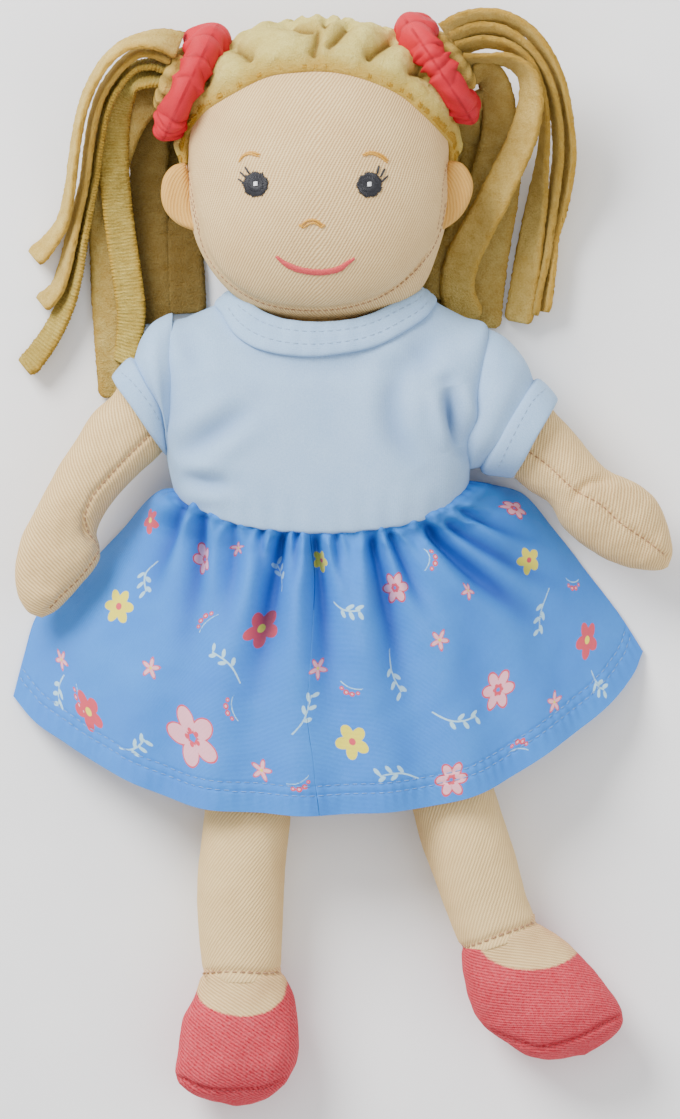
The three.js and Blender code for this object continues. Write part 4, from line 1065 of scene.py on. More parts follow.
def buildStrip(side, name, number):
    width, shade, finish, rows = strips[side][name]
    route = np.array([[*traced(row[:2])[0], row[2], row[3] * math.pi / 2] for row in rows])
    step = strips["rib"] / 4 if finish == "ribbed" else 0.8
    length = np.linalg.norm(np.diff(route[:, :3], axis=0), axis=1).sum()
    line = throughPoints(route, int(length / step))
    place, turn = line[:, :3], line[:, 3]
    walked = walkedAlong(place)
    along = unit(np.gradient(place, axis=0))
    flat = unit(np.cross([0.0, 0.0, 1.0], along))
    edge = np.cross(along, flat)
    across = flat * np.cos(turn)[:, None] + edge * np.sin(turn)[:, None]
    over = np.cross(along, across)
    picker = np.random.default_rng(100 + number)
    half, thick = width / 2, strips["thickness"] / 2
    corners = np.array([(-1, 1), (1, 1), (1, -1), (-1, -1), (-1, 1)], float)
    outline = []
    for start, end, steps in zip(corners, corners[1:], (9, 4, 9, 4)):
        outline += [mix(start, end, t) for t in np.linspace(0, 1, steps, endpoint=False)]
    a, b = np.array(outline).T
    rounded = np.sqrt(np.clip(1 - np.clip((np.abs(a) - 0.8) / 0.2, 0, 1) ** 2 * 0.75, 0, 1))
    cup = 0.35 * np.cos(walked / 11 + 1.7 * number)[:, None] * (a ** 2 - 0.4)[None, :]
    fuzz = strips["fuzz"] * picker.normal(size=(len(line), len(a))) * (np.abs(a) > 0.95)
    ribs = np.zeros((len(line), len(a)))
    if finish == "ribbed":
        wave = np.cos(walked * 2 * math.pi / strips["rib"])[:, None]
        ribs = strips["ribDepth"] * wave * (np.abs(a) < 0.93) * np.sign(b)
    taper = np.clip(1 - ((walked - walked[-1] + 2.2) / 2.4).clip(0, 1) ** 2 * 0.35, 0, 1)
    spreadOut = half * a[None, :] * taper[:, None] + fuzz
    lifted = thick * b[None, :] * rounded[None, :] + cup + ribs + 0.08 * picker.normal(size=ribs.shape)
    grid = place[:, None] + across[:, None] * spreadOut[..., None] + over[:, None] * lifted[..., None]
    keepAbove(grid, 0.25)
    shape = grid.shape[:2]
    weave = spreadWeave(a * half, walked, shape)
    rim = np.broadcast_to(np.clip((np.abs(a) - 0.72) / 0.25, 0, 1) * 0.85, shape)
    # Painted shade: over all of a strip hidden under others, and towards the tie on the rest; the edge
    # ink tints the strip's edges golden
    root = ease(14, 0, walked)[:, None] * 0.35 if shade < 0.5 else np.zeros((len(line), 1))
    inks = {"depth": np.broadcast_to(shade + root, shape), "edge": rim * (1 - shade)}
    thing = closedTube("hairStrip_%s_%s" % (name, side), grid, weave, inks)
    node = "hair_strand_%s_%s" % (name, side)
    dress(thing, finish, "ponytail_" + side, [node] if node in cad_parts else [])
    if width >= strips["leastSheet"]:
        print("sheet %s: %.1f x %.0f mm" % (thing.name, width, walked[-1]))


number = 0
for side in ("right", "left"):
    for name in strips[side]:
        number += 1
        buildStrip(side, name, number)
print("ponytails are made")

# Body: the stuffed trunk with its neck, mostly hidden by the dress
body = {
    "width": [(-9, 11.0), (-2.5, 11.5), (0.5, 26.0), (6, 38.0), (14, 42.0), (60, 42.2), (80, 41.0),
              (93, 36.0)],
    "depth": [(-9, 10.0), (-2.5, 10.5), (0.5, 10.2), (6, 12.0), (20, 17.0), (44, 19.6), (54, 15.0),
              (62, 12.5), (93, 12.0)],
    "height": 22.0, "fullness": 2.2, "fill": 0.85,
}


def buildBody():
    drops = np.linspace(-9, 93, 110)
    angle = turns(120, -math.pi / 2)[None, :]
    power = 2 / body["fullness"]
    wide = smoothShares(body["width"], drops)[:, None] * np.ones_like(angle)
    deep = smoothShares(body["depth"], drops)[:, None]
    rings = np.stack([wide * swell(np.cos(angle), power), -drops[:, None] * np.ones_like(angle),
                      body["height"] + deep * swell(np.sin(angle), power)], -1)
    rings[..., 2] += 0.3 * lumps(rings, 30, 21)
    keepAbove(rings, 0.6)
    dress(closedTube("bodyStuffing", rings), "limb", "trunk", ["body"])


buildBody()

# Dress top: knitted cloth round the body, from under the neckband to the waist
neckline = {
    "inner": [(415, 293, 33), (396, 302, 35.5), (373, 313, 37.8), (348, 320, 39.4), (314, 322, 40),
              (285, 319, 39.2), (265, 312, 37), (252, 304, 34.5), (241, 297, 31), (234, 290, 25),
              (262, 284, 11), (325, 280, 8), (390, 284, 11), (416, 287, 25)],
    "outer": [(432, 309, 32), (420, 322, 36), (380, 345, 41), (340, 354.5, 42.6), (300, 357, 42.6),
              (260, 350, 41), (235, 335, 36.5), (222, 314, 31), (216, 304, 24), (252, 300, 9),
              (325, 298, 6), (402, 298, 9), (434, 300, 24)],
    "columns": 300, "rise": 1.5, "stitchRows": (0.36, 0.72), "groove": 0.3, "grooveWidth": 0.055,
    "stitch": (1.9, 0.7, 0.16), "waves": ((0.12, 23, 0), (0.1, 9, 1)), "around": 28,
}
bodice = {
    "rings": [(-41.0, 41.5, 1.6, -15.0, 2.0, 41.6, 5.6, 2.8),
              (-47.9, 49.0, -2.0, -21.0, -6.0, 43.0, 3.4, 3.6),
              (-48.2, 47.8, -18.0, -33.0, -20.0, 44.4, 2.2, 4.0),
              (-48.0, 44.2, -37.0, -49.0, -36.0, 45.2, 1.8, 3.4),
              (-45.6, 43.2, -50.0, -61.8, -42.0, 44.9, 1.6, 2.6),
              (-44.6, 42.2, -51.2, -63.6, -43.0, 43.4, 2.4, 2.5)],
    "rows": 190, "thickness": 0.7, "level": 22.0, "wrinkleDepth": 2.3, "wrinkleRise": 0.9,
    "wrinkleShade": 0.55,
    "wrinkles": [(traced((166, 458), (206, 438), (258, 402)), 3.4, 1.0),
                 (traced((176, 474), (200, 482), (236, 484)), 2.4, 0.8),
                 (traced((416, 352), (396, 384), (396, 430), (424, 474)), 3.8, 1.0),
                 (traced((448, 382), (454, 414), (464, 452)), 2.4, 2.0),
                 (traced((172, 330), (190, 352), (192, 380)), 4.0, 0.5),
                 (traced((440, 330), (425, 352), (418, 380)), 4.0, 0.5)],
}


def neckLoop(points):
    count = neckline["columns"]
    path = np.array([[*traced(row[:2])[0], row[2]] for row in points])
    path = throughPoints(path, 500, True)
    bearing = np.arctan2(path[:, 2] - bodice["level"], path[:, 0])
    order = np.argsort(bearing)
    columns = [np.interp(turns(count, -math.pi), bearing[order], path[order, k], period=2 * math.pi)
               for k in range(3)]
    loop = np.stack(columns, 1)
    for _ in range(4):
        loop = smoothLoop(loop)
    return np.roll(loop, -count // 4, 0)


# More rings laid smoothly through a few drawn ones
def smoothRings(rings, rows):
    rings = np.array(rings)
    return np.stack([throughPoints(rings[:, c], rows) for c in range(rings.shape[1])], 1)


def buildBodice():
    inner, outer = neckLoop(neckline["inner"]), neckLoop(neckline["outer"])
    angle = turns(neckline["columns"], -math.pi / 2)
    rings = [mix(outer, inner, 0.6) - [0, 0, 1.6], mix(outer, inner, 0.1) - [0, 0, 0.9]]
    over = np.sin(angle)
    for low, high, sideY, frontY, backY, top, bottom, fullness in bodice["rings"]:
        power = 2 / fullness
        x = (low + high) / 2 + (high - low) / 2 * swell(np.cos(angle), power)
        y = sideY + (np.where(over > 0, frontY, backY) - sideY) * np.abs(over) ** 1.5
        deep = np.where(over > 0, top - bodice["level"], bodice["level"] - bottom)
        rings.append(np.stack([x, y, bodice["level"] + deep * swell(over, power)], 1))
    grid = smoothRings(rings, bodice["rows"])
    front = ease(24, 34, grid[..., 2])
    push, shade = np.zeros(grid.shape[:2]), np.zeros(grid.shape[:2])
    for line, width, depth in bodice["wrinkles"]:
        distance, place, _ = toLine(grid, throughPoints(line, 30))
        fade = np.sin(math.pi * np.clip(place, 0.06, 0.94))
        push += bodice["wrinkleDepth"] * crease(distance, width, depth) * fade
        push += bodice["wrinkleRise"] * depth * fade * bell(distance - 2 * width, width)
        shade += bodice["wrinkleShade"] * depth * fade * bell(distance, 0.8 * width)
    nearWaist = ease(-42, -60, grid[..., 1])
    push += 0.16 * np.sin(grid[..., 0] * 0.9 + 0.8 * lumps(grid, 20, 31)) * nearWaist
    push += 0.35 * lumps(grid, 26, 30)
    grid = grid + outwardOf(grid, True) * (push * front)[..., None]
    keepAbove(grid, 1.3)
    # The wrinkles' painted shade, laid as the depth ink
    inks = {"depth": np.clip(shade * front, 0, 1)}
    thing = clothSheet("bodiceKnit", grid, bodice["thickness"], None, inks, True)
    dress(thing, "knit", "trunk", ["dress_bodice"])
    declareSheet(thing, grid, True)
    return grid


bodiceGrid = buildBodice()


def buildNeckband():
    inner, outer = neckLoop(neckline["inner"]), neckLoop(neckline["outer"])
    angle, column = turns(neckline["around"]), turns(len(inner))
    away = unit(np.cross(np.roll(inner, -1, 0) - np.roll(inner, 1, 0), outer - inner))
    middle = (inner + outer) / 2 - [0.0, 0.0, bodice["level"]]
    away *= np.sign((away * middle * [1, 0, 1]).sum(1))[:, None]
    wave = sum(height * np.sin(column * count + shift) for height, count, shift in neckline["waves"])
    rings = []
    for a in angle:
        across, over = 0.5 - 0.5 * math.cos(a), math.sin(a)
        groove = sum(neckline["groove"] * bell(across - share, neckline["grooveWidth"])
                     for share in neckline["stitchRows"])
        height = (neckline["rise"] - groove) * over ** 0.6 if over > 0 else -0.5 * abs(over) ** 0.6
        rings.append(mix(outer, inner, across) + away * (height + wave * (over > 0))[:, None])
    grid = np.array(rings)
    shape = grid.shape[:2]
    weave = spreadWeave(column * 30, angle * 3, shape)
    thing = makeMesh("neckbandKnit", grid.reshape(-1, 3), ringFaces(*shape), weave.reshape(-1, 2))
    dress(thing, "knit", "trunk", ["dress_neckband"])
    faceRows = neckline["around"] // 2 + 1   # the strip is folded: its flat size is that of its face
    declareSheet(thing, grid[:faceRows], True)
    tree = treeOf(thing)
    parts = []
    for share in neckline["stitchRows"]:
        line = mix(outer, inner, share)
        line = line[line[:, 2] > 30]
        parts += stitchRow(layOn(tree, line, 0.02), neckline["stitch"])
    dress(joinParts("neckbandStitches", parts), "blueSeam", "trunk")


buildNeckband()
print("dress top is made")

# Sleeves and cuffs, from the armhole outwards: top edge, bottom edge and half depth of each ring;
# bend holds two places along each arm, which the sleeves don't use
sleeves = {
    "right": {"rings": [((172, 313), (172, 456), 13.6), ((165, 315), (167, 455), 15.4),
                        ((151, 323), (168, 446), 17.2), ((140, 339), (168, 434), 17.2),
                        ((132, 363), (168, 421), 15.0)],
              "cuff": [((135, 359), (166, 421), 14.6), ((128, 358), (170, 424), 16.0),
                       ((117, 368), (170, 440), 16.2), ((111, 376), (168, 454), 15.6),
                       ((114, 380), (163, 452), 14.0), ((122, 374), (163, 441), 12.8)],
              "stitches": traced((121, 372), (134, 384), (153, 409), (170, 441)),
              "bend": ((-45.0, -20.0), (-59.0, -22.0)), "arm": "right_arm"},
    "left": {"rings": [((484, 328), (461, 468), 13.6), ((492, 330), (467, 469), 15.4),
                       ((507, 339), (470, 470), 17.0), ((523, 356), (474, 469), 17.0),
                       ((535, 383), (481, 467), 15.0)],
             "cuff": [((532, 380), (480, 464), 14.6), ((540, 378), (484, 473), 16.0),
                      ((551, 388), (499, 476), 16.2), ((558, 399), (513, 477), 15.6),
                      ((553, 403), (514, 471), 14.0), ((545, 396), (503, 466), 12.8)],
             "stitches": traced((546, 388), (532, 402), (515, 432), (497, 470)),
             "bend": ((44.0, -22.0), (60.0, -27.0)), "arm": "left_arm"},
    "level": 22.0, "columns": 180, "rows": 90, "cuffRows": 70, "thickness": 0.7, "cuffThickness": 0.84,
    "unevenness": 0.3, "cuffUnevenness": 0.12, "stitch": (1.7, 0.8, 0.15), "fullness": 2.1,
}


def sleeveRings(table, rows, unevenness, seed):
    angle = turns(sleeves["columns"], -math.pi / 2)
    power = 2 / sleeves["fullness"]
    rings = []
    for top, bottom, deep in table:
        top, bottom = traced(top)[0], traced(bottom)[0]
        plan = (top + bottom) / 2 + (top - bottom) / 2 * swell(np.cos(angle), power)[:, None]
        rings.append(np.column_stack([plan, sleeves["level"] + deep * swell(np.sin(angle), power)]))
    grid = smoothRings(rings, rows)
    push = unevenness * lumps(grid, 13, seed) + 0.25 * lumps(grid, 28, seed + 1)
    grid = grid + outwardOf(grid, True) * push[..., None]
    keepAbove(grid, 1.0)
    return grid


def buildSleeve(side, seed):
    facts = sleeves[side]
    grid = sleeveRings(facts["rings"], sleeves["rows"], sleeves["unevenness"], seed)
    sleeve = clothSheet("sleeveKnit_" + side, grid, sleeves["thickness"], around=True)
    dress(sleeve, "knit", None, ["sleeve_" + side])
    declareSheet(sleeve, grid, True)
    grid = sleeveRings(facts["cuff"], sleeves["cuffRows"], sleeves["cuffUnevenness"], seed + 4)
    cuff = clothSheet("sleeveCuffKnit_" + side, grid, sleeves["cuffThickness"], around=True)
    dress(cuff, "knit", None, ["sleeve_cuff_" + side])
    declareSheet(cuff, grid, True)
    line = layOn(treeOf(cuff), throughPoints(facts["stitches"], 160), 0.02)
    stitches = sew("cuffStitches_" + side, line, sleeves["stitch"], "blueSeam")
    start, end = [tuple(onBench([[x, y, sleeves["level"]]])[0]) for x, y in facts["bend"]]
    for piece in (sleeve, cuff, stitches):
        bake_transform(piece)
        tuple(start)
        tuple(end)


# Arms: stuffed twill, flat mitten hands, a seam along the front
arms = {
    "seamWidth": 0.9, "seamDepth": 0.8, "puckers": 200, "unevenness": 0.4,
    "right": {"outer": traced((150, 352), (128, 366), (112, 394), (93, 412), (75, 439), (55, 471),
                              (34, 512), (20, 539), (14, 571), (17, 596), (27, 612), (41, 618)),
              "inner": traced((186, 408), (176, 432), (161, 453), (141, 471), (123, 489), (105, 512),
                              (96, 532), (99, 547), (98, 562), (80, 585), (58, 609), (41, 618)),
              "seam": traced((153, 432), (132, 452), (114, 471), (100, 487), (91, 499), (85, 516),
                             (88, 532), (96, 543), (97, 554), (82, 575), (60, 597), (45, 613)),
              "creases": [(traced((98, 540), (90, 536), (86, 524)), 1.6, 1.2),
                          (traced((88, 522), (76, 512), (60, 512)), 2.6, 0.5),
                          (traced((96, 532), (90, 530), (82, 520)), 2.0, 0.6)]},
    "left": {"outer": traced((516, 372), (536, 388), (554, 410), (575, 433), (596, 458), (612, 472),
                             (629, 479), (650, 492), (662, 508), (671, 533), (674, 552), (669, 567)),
             "inner": traced((478, 438), (492, 455), (512, 475), (529, 490), (550, 504), (562, 525),
                             (579, 542), (604, 558), (629, 567), (650, 570), (662, 570), (669, 567)),
             "seam": traced((522, 447), (538, 458), (550, 467), (575, 490), (600, 504), (621, 523),
                            (646, 540), (667, 556)),
             "creases": [(traced((577, 520), (573, 503), (580, 490), (592, 482), (610, 479), (628, 481)),
                          1.3, 1.3)]},
    "rows": 190, "columns": 120, "fullness": 2.15, "close": (9.0, 8.0), "stitch": (1.7, 0.55, 0.2),
    "fill": 0.85, "depth": [(0, 17.0), (0.2, 21.5), (0.55, 22.5), (0.75, 19.0), (0.9, 15.0), (1, 11.0)],
    "height": [(0, 22.0), (0.6, 22.0), (1, 19.5)],
}


def seamGroove(rings, line, facts):
    distance, place, _ = toLine(rings, throughPoints(line, 160))
    top = ease(-0.2, 0.35, outwardOf(rings, True)[..., 2])
    pucker = 0.13 * np.sin(place * facts["puckers"]) * bell(distance, 2.0)
    return (crease(distance, facts["seamWidth"], facts["seamDepth"]) + pucker) * top


def buildArm(side, seed):
    facts, rider = arms[side], sleeves[side]["arm"]
    rings, share, _ = betweenEdges(arms, side)
    away = outwardOf(rings, True)
    push = seamGroove(rings, facts["seam"], arms)
    upper = ease(-0.2, 0.35, away[..., 2])
    for line, width, depth in facts["creases"]:
        distance, place, _ = toLine(rings, throughPoints(line, 30))
        push += crease(distance, width, depth) * np.sin(math.pi * np.clip(place, 0.12, 0.88)) * upper
    push += arms["unevenness"] * lumps(rings, 19, seed) + 0.13 * lumps(rings, 5, seed + 1)
    push *= (1 - 0.55 * (1 - np.abs(away[..., 2]))) * ease(0, 0.04, 1 - share)[:, None]
    thing = closedTube("armPad_" + side, rings + away * push[..., None])
    dress(thing, "limb", rider, ["arm_" + side])
    line = layOn(treeOf(thing), throughPoints(facts["seam"], 200), 0.12, 26.0)
    sew("armSeam_" + side, line, arms["stitch"], "seam", rider)


for side, seed in (("right", 41), ("left", 51)):
    buildArm(side, seed)
    buildSleeve(side, seed + 3)
print("arms and sleeves are made")

# Legs: stuffed twill; feet: one stuffed piece each, pink cloth with a skin-coloured instep
legs = {
    "ankleDepth": 0.7, "unevenness": 0.3,
    "right": {"outer": traced((210, 640), (209, 700), (207, 770), (204, 812), (198, 875), (198, 927),
                              (202, 972), (206, 984)),
              "inner": traced((292, 640), (292, 700), (292, 770), (290, 816), (286, 859), (284, 912),
                              (280, 972), (278, 984))},
    "left": {"outer": traced((357, 622), (376, 690), (398, 765), (413, 812), (423, 848), (439, 893),
                             (461, 947), (468, 958)),
             "inner": traced((439, 596), (458, 665), (481, 740), (494, 785), (515, 854), (528, 898),
                             (537, 922), (538, 934))},
    "height": 15.4, "rows": 170, "columns": 110, "fullness": 2.15, "close": (7.0, 0.0), "fill": 0.85,
    "depth": [(0, 22.0), (0.15, 25.0), (0.7, 25.4), (0.93, 22.5), (1, 21.0)],
}
feet = {
    "seamWidth": 0.8, "seamDepth": 1.5, "puckers": 150, "ankleWidth": 1.1, "ankleDepth": 0.6,
    "unevenness": 0.35,
    "right": {"outer": traced((204, 966), (200, 980), (193, 1001), (182, 1022), (177, 1052), (176, 1077),
                              (183, 1089), (204, 1102), (234, 1107)),
              "inner": traced((280, 966), (286, 980), (294, 1001), (299, 1027), (298, 1055), (291, 1076),
                              (284, 1088), (264, 1102), (234, 1107)),
              "instep": traced((190, 960), (194, 975), (197, 995), (205, 1006), (220, 1013), (244, 1017),
                               (268, 1012), (282, 1000), (287, 984), (292, 960)),
              "toe": traced((176, 1079), (197, 1088), (218, 1092), (244, 1092), (265, 1090), (285, 1081)),
              "ankle": traced((200, 975), (215, 973), (240, 973), (265, 974), (283, 973)),
              "body": "right_leg"},
    "left": {"outer": traced((458, 941), (461, 950), (464, 975), (471, 1006), (486, 1030), (507, 1044),
                             (530, 1057), (557, 1062), (586, 1057)),
             "inner": traced((535, 915), (541, 925), (562, 940), (578, 955), (598, 975), (616, 1001),
                             (623, 1018), (617, 1035), (586, 1057)),
             "instep": traced((478, 930), (480, 948), (492, 961), (513, 969), (539, 970), (560, 965),
                              (578, 954), (590, 935)),
             "toe": traced((488, 1032), (518, 1043), (544, 1049), (576, 1040), (602, 1027), (623, 1016)),
             "ankle": traced((462, 949), (480, 944), (500, 936), (520, 929), (539, 922)),
             "body": "left_leg"},
    "rows": 130, "columns": 120, "fullness": 2.2, "close": (0.0, 9.0), "fill": 0.85,
    "toeStitch": (1.5, 0.5, 0.2), "ankleStitch": (1.8, 0.6, 0.32),
    "depth": [(0, 20.0), (0.12, 21.0), (0.4, 25.4), (0.7, 26.0), (0.88, 22.0), (1, 17.0)],
    "height": [(0, 15.2), (0.4, 15.0), (0.8, 15.0), (1, 15.0)],
}


def buildLeg(side, seed):
    foot = feet[side]
    rings = betweenEdges(legs, side)[0]
    push = legs["unevenness"] * lumps(rings, 24, seed) + 0.08 * lumps(rings, 5, seed + 1)
    ankle = toLine(rings, throughPoints(foot["ankle"], 40))[0]
    push += crease(ankle, feet["ankleWidth"], legs["ankleDepth"])
    thing = closedTube("legPad_" + side, rings + outwardOf(rings, True) * push[..., None])
    dress(thing, "legs", foot["body"], ["leg_" + side])


def buildFoot(side, seed):
    facts = feet[side]
    rings = betweenEdges(feet, side)[0]
    push = seamGroove(rings, facts["toe"], feet)
    ankle = toLine(rings, throughPoints(facts["ankle"], 40))[0]
    push += crease(ankle, feet["ankleWidth"], feet["ankleDepth"])
    push += feet["unevenness"] * lumps(rings, 16, seed) + 0.1 * lumps(rings, 5, seed + 1)
    rings = rings + outwardOf(rings, True) * push[..., None]
    keepAbove(rings, 0.6)
    distance, _, patchSide = toLine(rings, throughPoints(facts["instep"], 120))
    instep = distance * patchSide
    instep = np.where(outwardOf(rings, True)[..., 2] > -0.15, instep, -np.abs(instep) - 2)
    thing = closedTube("footPad_" + side, rings, None, {"instep": instep})
    nodes = ["shoe_upper_" + side, "shoe_sole_" + side]
    dress(thing, "shoe", facts["body"], nodes)
    tree = treeOf(thing)
    line = layOn(tree, throughPoints(facts["toe"], 120)[4:-4], 0.12, 20.0)
    sew("toeSeam_" + side, line, feet["toeStitch"], "shoeSeam", facts["body"])
    line = layOn(tree, throughPoints(facts["ankle"], 120)[3:-3], 0.55, 24.0)
    sew("ankleStitches_" + side, line, feet["ankleStitch"], "seam", facts["body"])


for side, seed in (("right", 61), ("left", 71)):
    buildLeg(side, seed)
    buildFoot(side, seed + 4)
print("legs and feet are made")

# Skirt: printed cotton gathered into the waist seam, a front in two halves and a back
skirt = {
    "right": traced((176, 488), (160, 490), (143, 503), (122, 528), (99, 553), (75, 577), (50, 600),
                    (33, 619), (22, 655), (11, 697)),
    "left": traced((468, 480), (493, 484), (525, 494), (553, 527), (587, 570), (620, 613), (645, 652)),
    "hem": traced((11, 697), (33, 722), (62, 741), (100, 766), (167, 797), (207, 808), (267, 813),
                  (320, 815), (360, 813), (433, 806), (493, 787), (553, 749), (600, 714), (633, 678),
                  (645, 652)),
    "columns": 520, "rows": 290, "thickness": 0.55, "split": 0.47, "rim": 0.0003, "hemHeight": 34.0,
    "waistHeight": 43.0, "waistTuck": 1.3, "foldDepth": 2.1, "foldRise": 1.1, "foldShade": 0.6,
    "gathers": 31, "gatherHeight": 0.14, "waves": 8.3, "waveHeight": 3.2, "hemRows": (6.3, 9.0),
    "hemGroove": 0.22, "hemStitch": (1.9, 0.8, 0.15), "pushedUp": (0.0, -56.0, 30.0), "keptShare": 0.2,
    "backColumns": 260, "backRows": 130, "backThickness": 0.5, "backHeight": 0.75, "backWave": 0.3,
    "folds": [(traced((186, 494), (168, 540), (140, 610)), 1.6, 5.5, 1.5),
              (traced((203, 508), (196, 565), (182, 670)), 1.4, 6.0, 1.7),
              (traced((233, 520), (232, 575), (222, 650)), 1.1, 5.0, 1.0),
              (traced((262, 527), (262, 552), (260, 585)), 0.8, 2.4, 0.9),
              (traced((284, 529), (272, 590), (252, 710)), 1.5, 6.5, 2.2),
              (traced((297, 530), (296, 555), (292, 590)), 0.8, 2.2, 1.0),
              (traced((314, 531), (322, 600), (328, 720)), 1.4, 6.0, 1.9),
              (traced((335, 532), (338, 558), (342, 590)), 0.8, 2.2, 0.8),
              (traced((371, 532), (386, 600), (408, 720)), 1.5, 6.5, 2.0),
              (traced((388, 531), (404, 565), (430, 625)), 1.1, 4.0, 1.6),
              (traced((424, 525), (470, 568), (560, 640)), 1.6, 6.0, 2.4),
              (traced((441, 520), (492, 552), (580, 600)), 1.3, 5.0, 1.8),
              (traced((458, 510), (505, 530), (560, 552)), 1.0, 3.5, 1.2)],
}


def meshCurve(points, shares):
    dense = throughPoints(points, 900)
    place = np.linspace(0, 1, 900)
    return np.stack([np.interp(shares, place, dense[:, k]) for k in range(dense.shape[1])], 1)


def patchBetween(top, bottom, left, right, across, down):
    u, v = across[None, :, None], down[:, None, None]
    sides = (1 - u) * left[:, None] + u * right[:, None]
    ends = (1 - v) * top[None] + v * bottom[None]
    upper = (1 - u) * (1 - v) * top[0] + u * (1 - v) * top[-1]
    lower = (1 - u) * v * bottom[0] + u * v * bottom[-1]
    return sides + ends - upper - lower


# Even shares with one more close to each rim, so that the rims stay crisp
def crispShares(count):
    return np.r_[0.0, skirt["rim"], np.linspace(0.0, 1.0, count)[1:-1], 1.0 - skirt["rim"], 1.0]


def waistLine(half):
    ring = bodiceGrid[-6]
    angle = turns(len(ring), -math.pi / 2)
    over = np.sin(angle)
    if half == "front":
        chosen = ring[over > 0.02][::-1]
    else:
        chosen = np.concatenate([ring[(angle < 0) & (over < -0.02)][::-1], ring[angle > math.pi][::-1]])
    away = chosen - [0, 0, bodice["level"]]
    away[:, 1] = 0
    return chosen - unit(away) * skirt["waistTuck"]


# The waist line of one half of the skirt, and its points in plan
def skirtPlan(half, shares, down):
    top, hem = meshCurve(waistLine(half), shares), meshCurve(skirt["hem"], shares)
    right, left = meshCurve(skirt["right"], down), meshCurve(skirt["left"], down)
    return top, patchBetween(top[:, :2], hem, right, left, shares, down)


def skirtLift(across, down):
    fullness = mix(2.1, 2.3, down)
    fall = mix(0.476, 1.1, down ** 0.7)
    rise = np.clip(1 - np.abs(across) ** fullness, 0, 1) ** fall
    middle = mix(skirt["waistHeight"], skirt["hemHeight"], down ** 0.9) + 2.5 * np.sin(math.pi * down)
    edge = mix(22.0, 1.7, ease(0.0, 0.2, down))
    return edge, middle, rise


def frontGrid(shares):
    down = crispShares(skirt["rows"])
    top, plan = skirtPlan("front", shares, down)
    u, v = shares[None, :], down[:, None]
    edge, middle, rise = skirtLift(2 * u - 1, v)
    height = mix(mix(edge, middle, rise), top[None, :, 2], ease(0.16, 0.0, v))
    grid = np.concatenate([plan, height[..., None]], -1)
    away = outwardOf(grid, False)
    push, shade = np.zeros(grid.shape[:2]), np.zeros(grid.shape[:2])
    for line, narrow, wide, depth in skirt["folds"]:
        distance, place, _ = toLine(grid, throughPoints(line, 16), 20.0)
        width = mix(narrow, wide, place ** 0.8)
        fade = (1 - ease(0.3, 1.0, place)) ** 0.8 * (0.3 + 0.7 * ease(0.0, 0.08, place))
        push += skirt["foldDepth"] * crease(distance, width, depth) * fade
        push += skirt["foldRise"] * depth * fade * bell(distance - 1.9 * width, width)
        shade += skirt["foldShade"] * depth * fade * bell(distance, 0.7 * width)
    around = 2 * math.pi * u
    gathers = np.sin(around * skirt["gathers"] + 1.6 * np.sin(around * 5) + 0.8 * np.sin(around * 11))
    push += skirt["gatherHeight"] * gathers * bell(v - 0.02, 0.06)
    sway = 0.5 + 0.5 * np.cos((2 * u - 1) * math.pi * skirt["waves"] + 2 * v + 1.0)
    push += skirt["waveHeight"] * sway * np.sqrt(v) * rise * ease(0.05, 0.6, v)
    push += 0.45 * lumps(grid, 30, 81) * ease(0.05, 0.3, v) + 0.12 * lumps(grid, 8, 82)
    steps = np.linalg.norm(np.diff(grid, axis=0), axis=2)
    toHem = np.concatenate([np.cumsum(steps[::-1], 0)[::-1], np.zeros((1, grid.shape[1]))])
    for reach in skirt["hemRows"]:
        push += crease(toHem - reach, 0.5, skirt["hemGroove"])
    push += 0.14 * np.sin(around * 63 + 2 * np.sin(around * 7)) * bell(toHem - 6.0, 4.0)
    grid = grid + away * (push * (0.25 + 0.75 * np.clip(away[..., 2], 0, 1)))[..., None]
    keepAbove(grid, 1.3)
    # Painted shade in the hollows of the gathers and along the waist seam
    shade += 0.5 * np.clip(-gathers, 0, 1) * bell(v, 0.05) + 0.35 * bell(v, 0.02)
    return grid, toHem, np.clip(shade, 0, 1)


# Printed motifs, worked as distances inside each shape: place as a pixel of the photograph,
# turn in degrees, then size, and for a bloom its petals and colour
printed = {
    "blooms": [((262, 628), 10, 6.0, 5, "red"), ((118, 606), 40, 5.4, 6, "yellow"),
               ((498, 690), 15, 5.6, 6, "pink"), ((352, 742), 30, 5.2, 5, "yellow"),
               ((395, 588), 0, 4.8, 6, "pink"), ((88, 712), 20, 5.4, 5, "red"),
               ((588, 640), 50, 5.2, 5, "red"), ((205, 560), 25, 4.4, 5, "pink"),
               ((530, 560), 60, 4.4, 5, "yellow"), ((192, 738), 35, 8.6, 5, "pink"),
               ((452, 780), 5, 5.0, 6, "pink"), ((322, 560), 12, 3.8, 5, "yellow"),
               ((150, 520), 5, 4.2, 5, "red"), ((515, 508), 0, 4.4, 6, "pink")],
    "stars": [((318, 668), 15, 3.4), ((150, 668), 50, 3.3), ((440, 640), 20, 3.2), ((555, 702), 70, 3.2),
              ((262, 770), 0, 3.3), ((238, 548), 30, 2.8), ((60, 660), 10, 3.0), ((468, 590), 35, 2.8)],
    "sprigs": [((225, 668), 215, 10.0), ((455, 715), 20, 10.0), ((300, 715), 300, 9.0),
               ((150, 575), 60, 8.0), ((545, 610), 130, 8.0), ((395, 670), 80, 9.0),
               ((130, 745), 330, 8.0), ((400, 778), 190, 8.5), ((60, 690), 110, 7.0),
               ((345, 606), 20, 6.5), ((600, 680), 60, 6.5), ((280, 578), 250, 6.0)],
    "berries": [((350, 690), 20), ((520, 745), 200), ((205, 620), 120), ((432, 560), 300),
                ((78, 700), 60), ((300, 785), 340), ((575, 585), 30), ((230, 708), 80)],
}


printColours = {
    "sprigInk": paint(176, 222, 240), "redInk": paint(214, 72, 88), "pinkInk": paint(246, 176, 190),
    "yellowInk": paint(240, 226, 70), "dotInk": paint(222, 74, 92),
}


